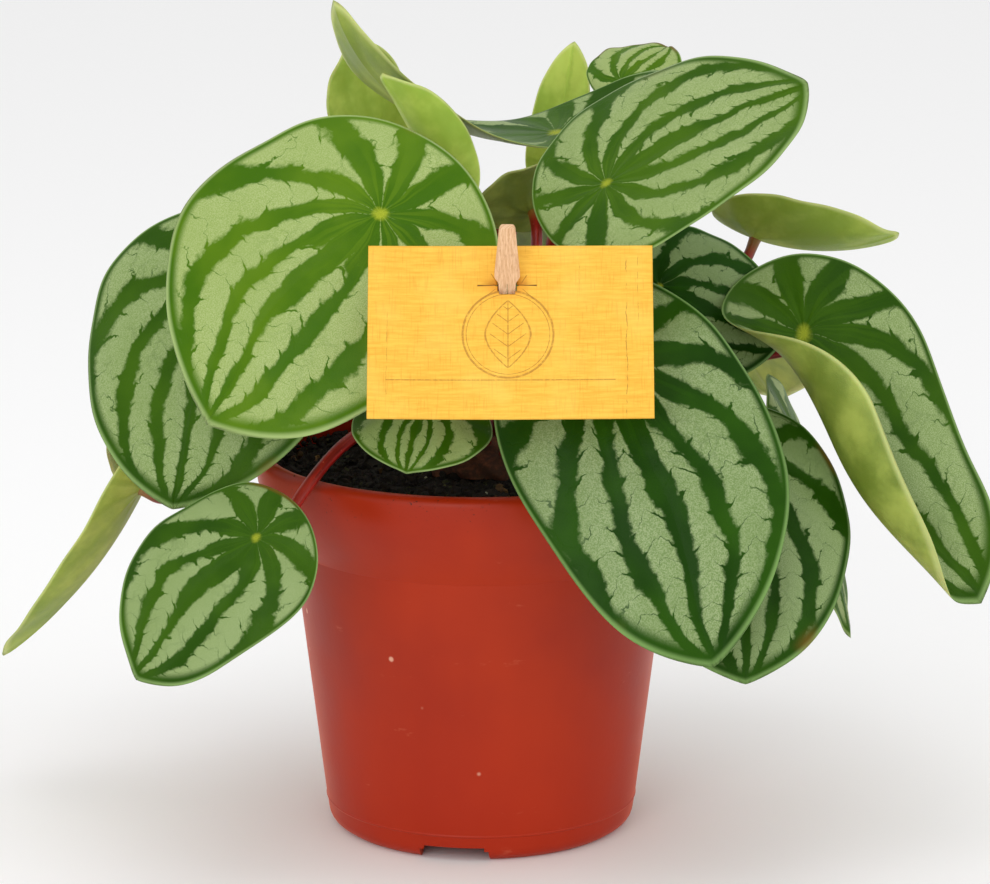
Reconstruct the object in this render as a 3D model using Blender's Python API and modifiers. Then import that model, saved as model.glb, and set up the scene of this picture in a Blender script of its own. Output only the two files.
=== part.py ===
"""Potted watermelon peperomia with a paper name card held on a small wooden peg.

A tapered plastic pot is filled with compost. A short rootstock stands on the compost, and each
petiole rises from it to the underside of its own shield-shaped leaf blade. The card hangs on the
peg, whose fork straddles one petiole. The plant looks towards -Y, the pot stands on Z = 0 and its
axis is the Z axis. Dimensions are in millimetres and become metres as each mesh is made.
"""
import math
from collections import namedtuple

import bmesh
import bpy
from mathutils import Matrix, Vector

MM = 0.001          # metres in a millimetre
GAP = 0.3           # air left between pieces that touch, mm

# Pot: radius and height along the outer side, from the rim down to the foot.
POT_OUTER = [
    (57.4, 103.0),  # top of the rolled rim
    (59.3, 102.2),
    (60.1, 100.3),
    (60.1, 96.0),
    (58.3, 90.0),   # bell of the collar
    (54.7, 83.5),
    (51.1, 78.3),
    (50.7, 77.9),   # faint step under the collar
    (42.0, 7.0),
    (41.3, 3.6),    # rounded corner of the foot
    (40.2, 1.4),
    (38.6, 0.0),
]
POT_INNER = [       # from the floor up to the rim
    (38.6, 5.8),
    (40.2, 7.6),
    (49.4, 78.0),
    (53.2, 84.0),
    (56.5, 90.4),
    (57.1, 96.5),
    (56.4, 102.2),
]
FOOT_INNER_RADIUS = 36.4
BASE_UNDERSIDE = 4.2
POT_SIDES = 48
FOOT_NOTCHES = 3
NOTCH_AZIMUTH = -100.0
NOTCH_WIDTH = 18.5
NOTCH_HEIGHT = 4.0
DRAIN_HOLES = 6
DRAIN_RADIUS = 3.2
DRAIN_CIRCLE = 27.0
DRAIN_SIDES = 12
CUT_THROUGH = 6.0           # cutters reach this far past the wall they cut

# Compost, and the rootstock that stands on it.
SOIL_TOP = 98.0
SOIL_EDGE_DROP = 0.8
SOIL_EDGE_INSET = 5.0
CROWN_X = 2.0
CROWN_RADIUS = 20.0
CROWN_HEIGHT = 9.0
CROWN_EDGE = 0.5            # height of the upright edge under the dome
CROWN_STEPS = 5
CROWN_SIDES = 20

# Leaf blades and petioles.
BLADE_THICKNESS = 1.2
PETIOLE_ROOT_RADIUS = 1.9
PETIOLE_TIP_RADIUS = 1.4
PETIOLE_POINTS = 10
STRAIGHT_END = 2.5          # length at each end that runs straight into its seat
RINGS = (3.5, 8.5, 14.5)    # circles on the rootstock from which petioles rise
ROOT_LIFT = 0.6             # a petiole's flat foot above the domed rootstock, at its middle
BLADE_SEAT = 0.45           # a petiole's flat end below its blade's curved underside
CLIP_PULLS = (10.0, 8.0, 17.0)  # bezier handles before and after the peg's fork, and at the blade

# Name card, its slit, and the peg.
CARD_WIDTH = 70.4
CARD_HEIGHT = 44.8
CARD_THICKNESS = 0.8
CARD_CENTRE = (7.6, -76.65, 149.3)
CARD_LEAN = 29.4            # top edge back, from upright
SLIT_AT = (-0.8, 12.05)     # slit centre on the card, from its middle
SLIT_SIZE = (15.0, 0.5)
WINDOW_SIZE = (5.2, 4.8)    # where the slit's bent lips let the peg through
PEG_TILT = 20.0             # head forward, from upright
PEG_THICKNESS = 2.2
PEG_FORK_AT = 13.4          # from the slit down to where the petiole crosses the fork

# One row a blade: where the petiole joins, where the tip lies, the way the upper face looks
# (azimuth and elevation, degrees), its width, and how it bends.
#   bend   turn of the midrib from base to tip, tip down when positive
#   base   how far the blade reaches back behind the petiole, as a share of the reach forward
#   left, right   the fold of each half: where it starts (share of the half width), then the
#                 turn inside and outside that line, edge down when positive
#   twist  turn of the tip about the midrib
#   sweep  sideways bow of the midrib, mm
#   ramp   shares of the length between which the folds grow from none to full
#   cells  faces across the blade
Blade = namedtuple(
    "Blade",
    "name attach tip facing width bend base left right twist sweep ramp cells",
    defaults=(20, 0.34, (0.5, 10, 10), (0.5, 10, 10), 0, 0, None, 6),
)
BLADES = [
    Blade("front_left", (-25, -50, 175), (-69, -62, 123), (-97, 27), 80, 22,
          left=(0.5, 8, 14), right=(0.5, 8, 14), sweep=-4.5, cells=8),
    Blade("left", (-67, -26, 154), (-79, -46, 97), (-113, 27), 76, 28,
          base=0.37, left=(0.5, 6, 16), right=(0.5, 6, 16), sweep=1, cells=8),
    Blade("pot_left", (-56, -67, 95), (-87, -75, 60), (-101, 35), 44, 14,
          base=0.27, left=(0.5, 5, 10), right=(0.5, 5, 10), sweep=-3),
    Blade("far_left", (-92, 0, 92), (-133, 20, 40), (162, 34), 32, -26,
          left=(0.4, -20, -10), right=(0.4, -20, -10)),
    Blade("left_back", (-87, 46, 118), (-102, 44, 83), (143, 24), 40, 20),
    Blade("top", (20, 9, 187), (-37, -14, 225), (4, 56), 34, -84,
          base=0.42, twist=30, left=(0.5, -6, -6), right=(0.5, -6, -6), cells=8),
    Blade("top_left", (-29, 32, 183), (-35, 22, 210), (124, 16), 28, 10,
          left=(0.5, 20, 50), right=(0.5, 10, 20)),
    Blade("top_fold", (-10, -20, 180), (-25, -26, 207), (42, 22), 24, 10,
          left=(0.4, -40, -30), right=(0.4, -40, -30)),
    Blade("top_tip", (20, 58, 172), (26, 54, 206), (80, 15), 17, -10),
    Blade("upper_right", (31.5, -42, 181), (83, -37, 206), (-101, 57), 57, 14,
          left=(0.5, -4, 6), right=(0.5, -8, -12), sweep=3, cells=8),
    Blade("upper_back", (38, 31, 198), (52, 43, 206), (-63, 70), 28, 30),
    Blade("right_back", (75, 27, 156), (112, 12, 160), (60, 68), 40, -40,
          left=(0.4, -30, -20), right=(0.4, -30, -20)),
    Blade("right_shade", (47, -13, 149), (79, -13, 133), (-88, 30), 44, 24),
    Blade("right", (85, -20, 138), (130, -42, 71), (-97, 30), 60, 26,
          base=0.28, left=(0.4, 10, 16), right=(0.3, -100, -50), sweep=-7,
          ramp=(-0.8, 0.1), cells=10),
    Blade("front_right", (32, -64, 137), (58, -92, 68), (-92, 25), 67, 20,
          left=(0.5, 8, 12), right=(0.5, 8, 12), sweep=3, cells=8),
    Blade("front_right_back", (63, -47, 110), (67, -76, 59), (-80, 30), 65, 26, cells=8),
    Blade("right_low", (85, -5, 107), (97, -33, 59), (-18, 22), 33, 10),
    Blade("front_low", (-14, -52, 126), (-19, -64, 111), (-101, 50), 38, 24),
    Blade("centre", (14, -4, 168), (18, -19, 184), (99, 35), 34, 10),
    Blade("back_left", (-56, 49, 149), (-84, 78, 115), (122, 41), 64, 24, cells=8),
    Blade("back", (4, 56, 156), (10, 92, 125), (92, 45), 70, 24, cells=8),
    Blade("back_right", (55, 46, 137), (85, 78, 100), (60, 36), 68, 24, cells=8),
    Blade("back_low", (-20, 61, 112), (-30, 87, 74), (104, 30), 54, 24),
    Blade("back_low_right", (30, 60, 110), (40, 84, 70), (76, 30), 50, 24),
]

# Where each petiole leaves the rootstock: ring and azimuth. The optional point draws its first
# half aside, and the optional share sets how straight it meets the blade.
PULL_OUT = 0.36
PULL_IN = 0.30
Root = namedtuple("Root", "ring azimuth towards pull_in", defaults=(None, PULL_IN))
ROOTS = {
    "front_left": Root(1, -130),
    "left": Root(1, -162),
    "pot_left": Root(2, -146, (-36, -42, 134), 0.22),
    "far_left": Root(2, -170, (-46, -40, 140), 0.2),
    "left_back": Root(2, 165),
    "top": Root(1, 45),
    "top_left": Root(1, 160),
    "top_fold": Root(0, -150),
    "top_tip": Root(0, 100, (3, 24, 168), 0.15),
    "upper_right": Root(1, -98, (-18, -50, 134)),
    "upper_back": Root(1, 85),
    "right_back": Root(1, -3),
    "right_shade": Root(1, -32),
    "right": Root(2, -4),
    "front_right": Root(2, -70),
    "front_right_back": Root(2, -48),
    "right_low": Root(2, -26),
    "front_low": Root(2, -121),
    "centre": Root(0, -30),
    "back_left": Root(2, 138),
    "back": Root(1, 115),
    "back_right": Root(2, 48),
    "back_low": Root(2, 106, (-12, 36, 126), 0.08),
    "back_low_right": Root(2, 74, (14, 36, 126), 0.08),
}

# Colour, roughness and metallic value of each material.
GREEN = (0.16, 0.33, 0.10, 1)
RED = (0.30, 0.03, 0.02, 1)
TERRACOTTA = (0.42, 0.05, 0.015, 1)
COMPOST = (0.020, 0.014, 0.010, 1)
BROWN = (0.13, 0.05, 0.025, 1)
AMBER = (0.80, 0.47, 0.10, 1)
BEECH = (0.72, 0.45, 0.27, 1)


# --- scene and shared steps -------------------------------------------------------------------

for old in list(bpy.data.objects):
    bpy.data.objects.remove(old, do_unlink=True)

plant = bpy.data.collections.new("potted_peperomia")
cutters = bpy.data.collections.new("cutters")
bpy.context.scene.collection.children.link(plant)
bpy.context.scene.collection.children.link(cutters)


def finish(obj, colour, roughness, group=plant):
    """Put an object in its collection and give it a material of its own."""
    group.objects.link(obj)
    paint = bpy.data.materials.new(obj.name)
    paint.use_nodes = True
    shader = paint.node_tree.nodes["Principled BSDF"]
    shader.inputs["Base Color"].default_value = colour
    shader.inputs["Roughness"].default_value = roughness
    shader.inputs["Metallic"].default_value = 0.0
    obj.data.materials.append(paint)
    return obj


def shade(mesh, sharp_angle=40.0):
    """Smooth shading that keeps the real corners."""
    mesh.shade_smooth()
    mesh.set_sharp_from_angle(angle=math.radians(sharp_angle))


def as_mesh(obj):
    """The object's evaluated shape as a mesh object of the same name and place, caps welded."""
    name = obj.name
    bpy.context.view_layer.update()
    depsgraph = bpy.context.evaluated_depsgraph_get()
    mesh = bpy.data.meshes.new_from_object(obj.evaluated_get(depsgraph))
    place = obj.matrix_world.copy()
    bpy.data.objects.remove(obj, do_unlink=True)
    bm = bmesh.new()
    bm.from_mesh(mesh)
    bmesh.ops.remove_doubles(bm, verts=bm.verts, dist=0.001 * MM)
    bm.to_mesh(mesh)
    bm.free()
    solid = bpy.data.objects.new(name, mesh)
    solid.matrix_world = place
    return solid


def turned(name, profile, sides):
    """A solid of revolution about Z from (radius, height) points in mm."""
    mesh = bpy.data.meshes.new(name)
    points = [(radius * MM, 0.0, height * MM) for radius, height in profile]
    edges = [(i, i + 1) for i in range(len(points) - 1)]
    if profile[0][0] > 0.0 or profile[-1][0] > 0.0:
        edges.append((len(points) - 1, 0))
    mesh.from_pydata(points, edges, [])
    obj = bpy.data.objects.new(name, mesh)
    screw = obj.modifiers.new("turn", "SCREW")
    screw.axis = "Z"
    screw.angle = math.tau
    screw.steps = sides
    screw.render_steps = sides
    screw.use_merge_vertices = True
    screw.merge_threshold = 0.00001
    return obj


def cutter(name, mesh):
    """A wire-drawn object that only cuts others."""
    obj = bpy.data.objects.new(name, mesh)
    obj.display_type = "WIRE"
    obj.hide_render = True
    cutters.objects.link(obj)
    return obj


def cut(obj, tool, name):
    """Cut one object with another."""
    boolean = obj.modifiers.new(name, "BOOLEAN")
    boolean.operation = "DIFFERENCE"
    boolean.solver = "EXACT"
    boolean.object = tool


def add_box(bm, size, place):
    """A cuboid of the given size (mm) moved by a matrix whose shift is in metres."""
    scale = Matrix.Diagonal(Vector(size) * MM).to_4x4()
    bmesh.ops.create_cube(bm, size=1.0, matrix=place @ scale)


def about_z(azimuth, radius, height):
    """A matrix at a radius and height (mm), turned to face out at the azimuth (degrees)."""
    turn = Matrix.Rotation(math.radians(azimuth), 4, "Z")
    return turn @ Matrix.Translation(Vector((radius, 0, height)) * MM)


# --- pot --------------------------------------------------------------------------------------

def make_pot():
    """Thin tapered pot on a notched foot ring, with drain holes through its floor."""
    foot = [(FOOT_INNER_RADIUS, 0.0), (FOOT_INNER_RADIUS, BASE_UNDERSIDE), (0.0, BASE_UNDERSIDE)]
    floor = [(0.0, POT_INNER[0][1])]
    pot = turned("pot", POT_OUTER + foot + floor + POT_INNER, POT_SIDES)

    notches = bmesh.new()
    ring_middle = 0.5 * (POT_OUTER[-1][0] + FOOT_INNER_RADIUS)
    for i in range(FOOT_NOTCHES):
        azimuth = NOTCH_AZIMUTH + i * 360.0 / FOOT_NOTCHES
        # twice the notch's height, centred on the surface that the pot stands on
        size = (2 * CUT_THROUGH, NOTCH_WIDTH, 2 * NOTCH_HEIGHT)
        add_box(notches, size, about_z(azimuth, ring_middle, 0.0))
    mesh = bpy.data.meshes.new("foot_notches")
    notches.to_mesh(mesh)
    notches.free()

    holes = bmesh.new()
    floor_middle = 0.5 * (BASE_UNDERSIDE + POT_INNER[0][1])
    for i in range(DRAIN_HOLES):
        azimuth = NOTCH_AZIMUTH + (i + 0.5) * 360.0 / DRAIN_HOLES
        bmesh.ops.create_cone(
            holes, cap_ends=True, segments=DRAIN_SIDES, depth=CUT_THROUGH * MM,
            radius1=DRAIN_RADIUS * MM, radius2=DRAIN_RADIUS * MM,
            matrix=about_z(azimuth, DRAIN_CIRCLE, floor_middle),
        )
    hole_mesh = bpy.data.meshes.new("drain_holes")
    holes.to_mesh(hole_mesh)
    holes.free()

    finish(pot, TERRACOTTA, 0.45)
    cut(pot, cutter("foot_notches", mesh), "notches")
    cut(pot, cutter("drain_holes", hole_mesh), "drain")


# --- compost and rootstock --------------------------------------------------------------------

def make_soil():
    """Compost that fills the pot to just under its rim."""
    side = [(r - GAP, z + GAP) for r, z in POT_INNER if z < SOIL_TOP - SOIL_EDGE_DROP]
    edge = (side[-1][0], SOIL_TOP - SOIL_EDGE_DROP)
    shoulder = (side[-1][0] - SOIL_EDGE_INSET, SOIL_TOP)
    floor = POT_INNER[0][1] + GAP
    profile = [(0.0, SOIL_TOP), shoulder, edge] + side[::-1] + [(0.0, floor)]
    finish(turned("soil", profile, POT_SIDES), COMPOST, 0.95)


def crown_height(radius):
    """Height of the rootstock's domed top at a radius, and its slope there."""
    share = math.sqrt(1.0 - (radius / CROWN_RADIUS) ** 2)
    height = SOIL_TOP + GAP + CROWN_HEIGHT * share
    slope = CROWN_HEIGHT * radius / (CROWN_RADIUS ** 2 * share)
    return height, slope


def make_crown():
    """Short domed rootstock, flat underneath."""
    profile = []
    for i in range(CROWN_STEPS):
        radius = CROWN_RADIUS * math.sin(math.radians(90.0 * i / CROWN_STEPS))
        profile.append((radius, crown_height(radius)[0]))
    profile.append((CROWN_RADIUS, SOIL_TOP + GAP + CROWN_EDGE))
    profile.append((CROWN_RADIUS, SOIL_TOP + GAP))
    profile.append((0.0, SOIL_TOP + GAP))
    crown = finish(turned("crown", profile, CROWN_SIDES), BROWN, 0.8)
    crown.location.x = CROWN_X * MM


# --- leaf blades ------------------------------------------------------------------------------

class Shape:
    """Maps the flat outline of a blade (s along the midrib, t across it, mm) into its place.

    The petiole joins at s = t = 0. The midrib is an arc from there to the tip.
    """

    def __init__(self, blade):
        self.blade = blade
        self.origin = Vector(blade.attach)
        chord = Vector(blade.tip) - self.origin
        self.along = chord.normalized()
        azimuth, elevation = (math.radians(a) for a in blade.facing)
        facing = Vector((math.cos(elevation) * math.cos(azimuth),
                         math.cos(elevation) * math.sin(azimuth),
                         math.sin(elevation)))
        self.normal = (facing - facing.dot(self.along) * self.along).normalized()
        self.across = self.normal.cross(self.along)
        self.half_turn = math.radians(blade.bend) / 2
        self.length = chord.length * self.half_turn / math.sin(self.half_turn)
        self.curvature = 2 * self.half_turn / self.length
        self.reach_back = blade.base * self.length

    def outline(self, angle):
        """Point of the flat outline at an angle about the blade's middle, 0 at the tip."""
        q = math.cos(angle)
        half_length = 0.5 * (self.length + self.reach_back)
        middle = 0.5 * (self.length - self.reach_back)
        oval = math.sqrt(max(1.0 - q * q, 0.0))
        taper = (1 - 0.16 * q) * (1 - 0.42 * max(q, 0.0) ** 6)
        width = 0.5 * self.blade.width * oval * taper
        return middle + half_length * q, math.copysign(width, math.sin(angle))

    def folded(self, share, fold, growth):
        """Reach out and drop, in half widths, at a share of the half width."""
        start, inner, outer = fold
        inner = math.radians(inner) * growth / start
        outer = math.radians(outer) * growth / (1 - start)
        near = min(share, start)
        far = max(share - start, 0.0)
        turned_by = inner * start
        out = math.sin(inner * near) / inner
        out += (math.sin(turned_by + outer * far) - math.sin(turned_by)) / outer
        drop = (1 - math.cos(inner * near)) / inner
        drop += (math.cos(turned_by) - math.cos(turned_by + outer * far)) / outer
        return out, drop

    def place(self, s, t):
        """Point of the upper face over (s, t), in mm."""
        blade = self.blade
        growth = 1.0
        if blade.ramp:
            first, last = blade.ramp
            growth = min(max((s / self.length - first) / (last - first), 0.02), 1.0)
            growth = growth * growth * (3 - 2 * growth)
        half_width = 0.5 * blade.width
        fold = blade.left if t >= 0 else blade.right
        out, drop = self.folded(abs(t) / half_width, fold, growth)
        out = math.copysign(out * half_width, t)
        drop *= half_width
        out += blade.sweep * math.sin(math.pi * min(max(s / self.length, 0.0), 1.0)) ** 2
        twist = math.radians(blade.twist) * s / self.length
        aside = out * math.cos(twist) + drop * math.sin(twist)
        drop = drop * math.cos(twist) - out * math.sin(twist)
        angle = self.half_turn - self.curvature * s
        forward = (math.sin(self.half_turn) - math.sin(angle)) / self.curvature
        rise = (math.cos(angle) - math.cos(self.half_turn)) / self.curvature
        forward += math.sin(angle) * drop
        rise -= math.cos(angle) * drop
        return self.origin + forward * self.along + rise * self.normal + aside * self.across

    def joint(self):
        """Where the petiole ends under the blade, and the upward direction there."""
        up = math.cos(self.half_turn) * self.normal - math.sin(self.half_turn) * self.along
        return self.origin - (BLADE_THICKNESS + BLADE_SEAT) * up, up


def make_blade(shape):
    """One blade: a square grid drawn out to the leaf's outline, bent, folded and given a thickness."""
    name = "blade_" + shape.blade.name
    cells = shape.blade.cells
    bm = bmesh.new()
    bmesh.ops.create_grid(bm, x_segments=cells, y_segments=cells, size=1.0)
    for vert in bm.verts:
        x, y = vert.co.x, vert.co.y
        # the square's points moved onto a disc, then each spoke stretched to the outline
        disc_x = x * math.sqrt(1 - y * y / 2)
        disc_y = y * math.sqrt(1 - x * x / 2)
        spoke = math.hypot(disc_x, disc_y)
        edge_s, edge_t = shape.outline(math.atan2(disc_y, disc_x))
        vert.co = shape.place(spoke * edge_s, spoke * edge_t) * MM
    mesh = bpy.data.meshes.new(name)
    bm.to_mesh(mesh)
    bm.free()
    shade(mesh)
    blade = finish(bpy.data.objects.new(name, mesh), GREEN, 0.4)
    shell = blade.modifiers.new("thickness", "SOLIDIFY")
    shell.thickness = BLADE_THICKNESS * MM
    shell.offset = -1.0
    shell.use_even_offset = False


# --- petioles ---------------------------------------------------------------------------------

def bezier(p0, p1, p2, p3, count):
    """Points spread along a cubic curve, both ends included."""
    points = []
    for i in range(count):
        k = i / (count - 1)
        j = 1 - k
        points.append(j ** 3 * p0 + 3 * j * j * k * p1 + 3 * j * k * k * p2 + k ** 3 * p3)
    return points


def petiole_path(shape, clip=None):
    """Points from the rootstock to the blade. A clip (point, direction) is passed on the way."""
    root = ROOTS[shape.blade.name]
    radius = RINGS[root.ring]
    azimuth = math.radians(root.azimuth)
    height, slope = crown_height(radius)
    away = Vector((math.cos(azimuth), math.sin(azimuth), 0))
    out = (slope * away + Vector((0, 0, 1))).normalized()
    start = Vector((CROWN_X, 0, height)) + radius * away + ROOT_LIFT * out
    rise = start + STRAIGHT_END * out
    end, up = shape.joint()
    meet = end - STRAIGHT_END * up
    if clip:
        point, direction = clip
        below, above, at_blade = CLIP_PULLS
        low = bezier(rise, Vector(root.towards), point - below * direction, point,
                     PETIOLE_POINTS - 1)
        high = bezier(point, point + above * direction, meet - at_blade * up, meet,
                      PETIOLE_POINTS - 2)
        return [start] + low + high[1:] + [end]
    span = (end - start).length
    first = Vector(root.towards) if root.towards else start + PULL_OUT * span * out
    middle = bezier(rise, first, meet - root.pull_in * span * up, meet, PETIOLE_POINTS - 2)
    return [start] + middle + [end]


def make_petiole(name, path):
    """A red stalk, thinner towards its blade."""
    curve = bpy.data.curves.new(name, "CURVE")
    curve.dimensions = "3D"
    curve.bevel_depth = MM
    curve.bevel_resolution = 1
    curve.use_fill_caps = True
    spline = curve.splines.new("POLY")
    spline.points.add(len(path) - 1)
    for i, (point, where) in enumerate(zip(spline.points, path)):
        share = i / (len(path) - 1)
        point.co = (where * MM).to_4d()
        point.radius = PETIOLE_ROOT_RADIUS + share * (PETIOLE_TIP_RADIUS - PETIOLE_ROOT_RADIUS)
    finish(bpy.data.objects.new(name, curve), RED, 0.35)


# --- name card and peg ------------------------------------------------------------------------

def make_card():
    """Stiff card with a slit whose bent lips leave a small window. Returns the slit's centre."""
    bm = bmesh.new()
    add_box(bm, (CARD_WIDTH, CARD_HEIGHT, CARD_THICKNESS), Matrix.Identity(4))
    mesh = bpy.data.meshes.new("label_card")
    bm.to_mesh(mesh)
    bm.free()
    card = bpy.data.objects.new("label_card", mesh)
    card.location = Vector(CARD_CENTRE) * MM
    card.rotation_euler.x = math.radians(90 - CARD_LEAN)
    finish(card, AMBER, 0.6)

    slit_place = Matrix.Translation(Vector((*SLIT_AT, 0)) * MM)
    for name, size in (("slit", SLIT_SIZE), ("window", WINDOW_SIZE)):
        bm = bmesh.new()
        add_box(bm, (*size, 3 * CARD_THICKNESS), slit_place)
        tool_mesh = bpy.data.meshes.new(name)
        bm.to_mesh(tool_mesh)
        bm.free()
        tool = cutter(name, tool_mesh)
        tool.location = card.location
        tool.rotation_euler = card.rotation_euler
        cut(card, tool, name)
    lean = Matrix.Rotation(math.radians(90 - CARD_LEAN), 3, "X")
    return Vector(CARD_CENTRE) + lean @ Vector((*SLIT_AT, 0))


# Half of the peg's outline, from the head's top down the right side, in mm from the slit.
PEG_RIGHT = [
    (1.0, 16.9), (1.9, 16.2), (2.2, 15.0), (2.9, 9.0), (3.2, 3.2), (2.9, 2.2), (2.2, 1.6),
    (2.1, -2.2), (4.5, -6.0), (4.5, -15.4), (4.2, -16.8), (3.9, -16.8), (2.9, -14.0), (2.9, -8.4),
    (1.2, -6.4),
]


def make_peg(slit):
    """Wooden peg: tapered head in front of the card, tongue through it, fork behind it."""
    curve = bpy.data.curves.new("label_peg", "CURVE")
    curve.dimensions = "2D"
    curve.fill_mode = "BOTH"
    curve.extrude = 0.5 * PEG_THICKNESS * MM
    outline = PEG_RIGHT + [(-x, y) for x, y in reversed(PEG_RIGHT)]
    spline = curve.splines.new("POLY")
    spline.points.add(len(outline) - 1)
    for point, (x, y) in zip(spline.points, outline):
        point.co = (x * MM, y * MM, 0, 1)
    spline.use_cyclic_u = True
    peg = bpy.data.objects.new("label_peg", curve)
    peg.location = slit * MM
    peg.rotation_euler.x = math.radians(90 + PEG_TILT)
    cutters.objects.link(peg)
    finish(as_mesh(peg), BEECH, 0.6)


# --- the whole plant --------------------------------------------------------------------------

make_pot()
make_soil()
make_crown()
slit_centre = make_card()
make_peg(slit_centre)

peg_down = Vector((0, math.sin(math.radians(PEG_TILT)), -math.cos(math.radians(PEG_TILT))))
fork = slit_centre + PEG_FORK_AT * peg_down
stalk_rise = Vector((0.0, 0.16, 1.0)).normalized()

for row in BLADES:
    leaf = Shape(row)
    make_blade(leaf)
    held = (fork, stalk_rise) if row.name == "upper_right" else None
    make_petiole("petiole_" + row.name, petiole_path(leaf, held))
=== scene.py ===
"""A peperomia with silver-banded leaves in its nursery pot, with a card on a wooden peg.

The plant is put together from the pot upwards: pot, compost, rootstock, petioles, leaf blades,
then the card and the peg that holds it. Sizes are millimetres, turned to metres as meshes are made.
"""
import math
from collections import namedtuple

import bmesh
import bpy
import numpy as np
from mathutils import Matrix, Vector


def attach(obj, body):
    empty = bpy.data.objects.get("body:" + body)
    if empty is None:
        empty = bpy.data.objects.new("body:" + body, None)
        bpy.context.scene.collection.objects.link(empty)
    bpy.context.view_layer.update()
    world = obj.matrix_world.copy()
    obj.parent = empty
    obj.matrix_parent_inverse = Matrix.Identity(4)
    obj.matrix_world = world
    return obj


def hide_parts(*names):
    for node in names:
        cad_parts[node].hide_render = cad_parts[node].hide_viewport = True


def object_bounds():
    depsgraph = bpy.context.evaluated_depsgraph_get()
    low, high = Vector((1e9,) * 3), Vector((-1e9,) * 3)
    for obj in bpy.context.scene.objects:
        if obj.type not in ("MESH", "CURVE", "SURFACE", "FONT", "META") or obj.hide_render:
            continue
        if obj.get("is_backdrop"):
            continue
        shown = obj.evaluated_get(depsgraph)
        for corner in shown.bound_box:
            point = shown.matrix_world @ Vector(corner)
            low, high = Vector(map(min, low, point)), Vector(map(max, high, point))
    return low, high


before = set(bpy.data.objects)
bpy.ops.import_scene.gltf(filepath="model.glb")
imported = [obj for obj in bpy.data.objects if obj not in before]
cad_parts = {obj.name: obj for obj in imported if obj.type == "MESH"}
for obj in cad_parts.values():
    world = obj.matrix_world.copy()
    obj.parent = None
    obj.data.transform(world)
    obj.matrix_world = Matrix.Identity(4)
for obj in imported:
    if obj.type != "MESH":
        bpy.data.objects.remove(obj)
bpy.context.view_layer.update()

# --- Pot --------------------------------------------------------------------------------------
# A thin nursery pot, injection moulded in terracotta-coloured polypropylene. It has a belled
# collar with a rolled rim, and stands on a foot ring whose notches let water out from below.

MM = 0.001
POT_OUTER = [       # radius, height and corner radius, from the rim down to the foot
    (56.9, 102.9, 0.5), (58.6, 103.0, 0.9), (60.2, 101.6, 1.2), (60.2, 95.6, 4.0),
    (57.6, 88.4, 6.0), (51.0, 78.2, 1.2), (50.75, 77.9, 0.1), (42.2, 7.6, 0.1), (42.35, 7.2, 0.1),
    (42.0, 6.8, 0.1), (41.4, 1.9, 2.6), (38.6, 0.0, 0.5), (36.4, 0.0, 0.4), (36.4, 4.2, 0.3),
    (0.0, 4.2, 0.0), (0.0, 5.8, 0.0), (39.3, 5.8, 1.0), (49.4, 78.0, 1.0), (56.2, 89.4, 5.0),
    (57.1, 95.6, 2.0), (56.5, 102.2, 0.5),
]
POT_SIDES = 224
NOTCHES = 3
NOTCH_AZIMUTH = -100.0
NOTCH_SIZE = (12.0, 18.5, 8.0)
NOTCH_CORNER = 1.1
DRAINS = 6
DRAIN_CIRCLE = 27.0
DRAIN_RADIUS = 3.2


def filleted(corners, steps=5):
    """The outline with each corner of (x, y, radius) rounded by a short curve."""
    line = []
    count = len(corners)
    for i, (x, y, radius) in enumerate(corners):
        here = np.array((x, y))
        before = np.array(corners[i - 1][:2]) - here
        after = np.array(corners[(i + 1) % count][:2]) - here
        if radius <= 0.0:
            line.append(here)
            continue
        start = here + before * min(radius / np.linalg.norm(before), 0.45)
        end = here + after * min(radius / np.linalg.norm(after), 0.45)
        for k in np.linspace(0.0, 1.0, steps):
            line.append((1 - k) ** 2 * start + 2 * k * (1 - k) * here + k * k * end)
    return line


def lathe(name, line, sides):
    """A closed solid turned about Z from (radius, height) points in mm, listed as a loop."""
    bm = bmesh.new()
    verts = [bm.verts.new((r * MM, 0.0, z * MM)) for r, z in line]
    edges = [bm.edges.new((a, b)) for a, b in zip(verts, verts[1:] + verts[:1])]
    bmesh.ops.spin(bm, geom=verts + edges, cent=(0, 0, 0), axis=(0, 0, 1), dvec=(0, 0, 0),
                   angle=math.tau, steps=sides, use_merge=True)
    bmesh.ops.remove_doubles(bm, verts=bm.verts, dist=0.004 * MM)
    loose = [e for e in bm.edges if not e.link_faces]
    bmesh.ops.delete(bm, geom=loose, context="EDGES")
    bmesh.ops.recalc_face_normals(bm, faces=bm.faces)
    return as_object(name, bm)


def smooth(mesh, sharp_angle=35.0):
    """Smooth shading, broken where faces meet at more than the angle in degrees."""
    mesh.shade_smooth()
    mesh.set_sharp_from_angle(angle=math.radians(sharp_angle))


def as_object(name, bm, sharp_angle=35.0):
    """A smooth-shaded object from a bmesh, in the scene."""
    mesh = bpy.data.meshes.new(name)
    bm.to_mesh(mesh)
    bm.free()
    smooth(mesh, sharp_angle)
    obj = bpy.data.objects.new(name, mesh)
    bpy.context.scene.collection.objects.link(obj)
    return obj


def settle(obj):
    """Turn the object's modifiers into its plain mesh, in place."""
    bpy.context.view_layer.update()
    evaluated = obj.evaluated_get(bpy.context.evaluated_depsgraph_get())
    mesh = bpy.data.meshes.new_from_object(evaluated)
    obj.modifiers.clear()
    obj.data = mesh
    return obj


def cut(obj, bm):
    """Take the shape in a bmesh out of the object."""
    tool = as_object("tool", bm)
    boolean = obj.modifiers.new("cut", "BOOLEAN")
    boolean.operation = "DIFFERENCE"
    boolean.object = tool
    settle(obj)
    bpy.data.objects.remove(tool, do_unlink=True)


def coat(piece, *finishes):
    """Give the piece these materials and no others."""
    piece.data.materials.clear()
    for finish in finishes:
        piece.data.materials.append(finish)


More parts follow.
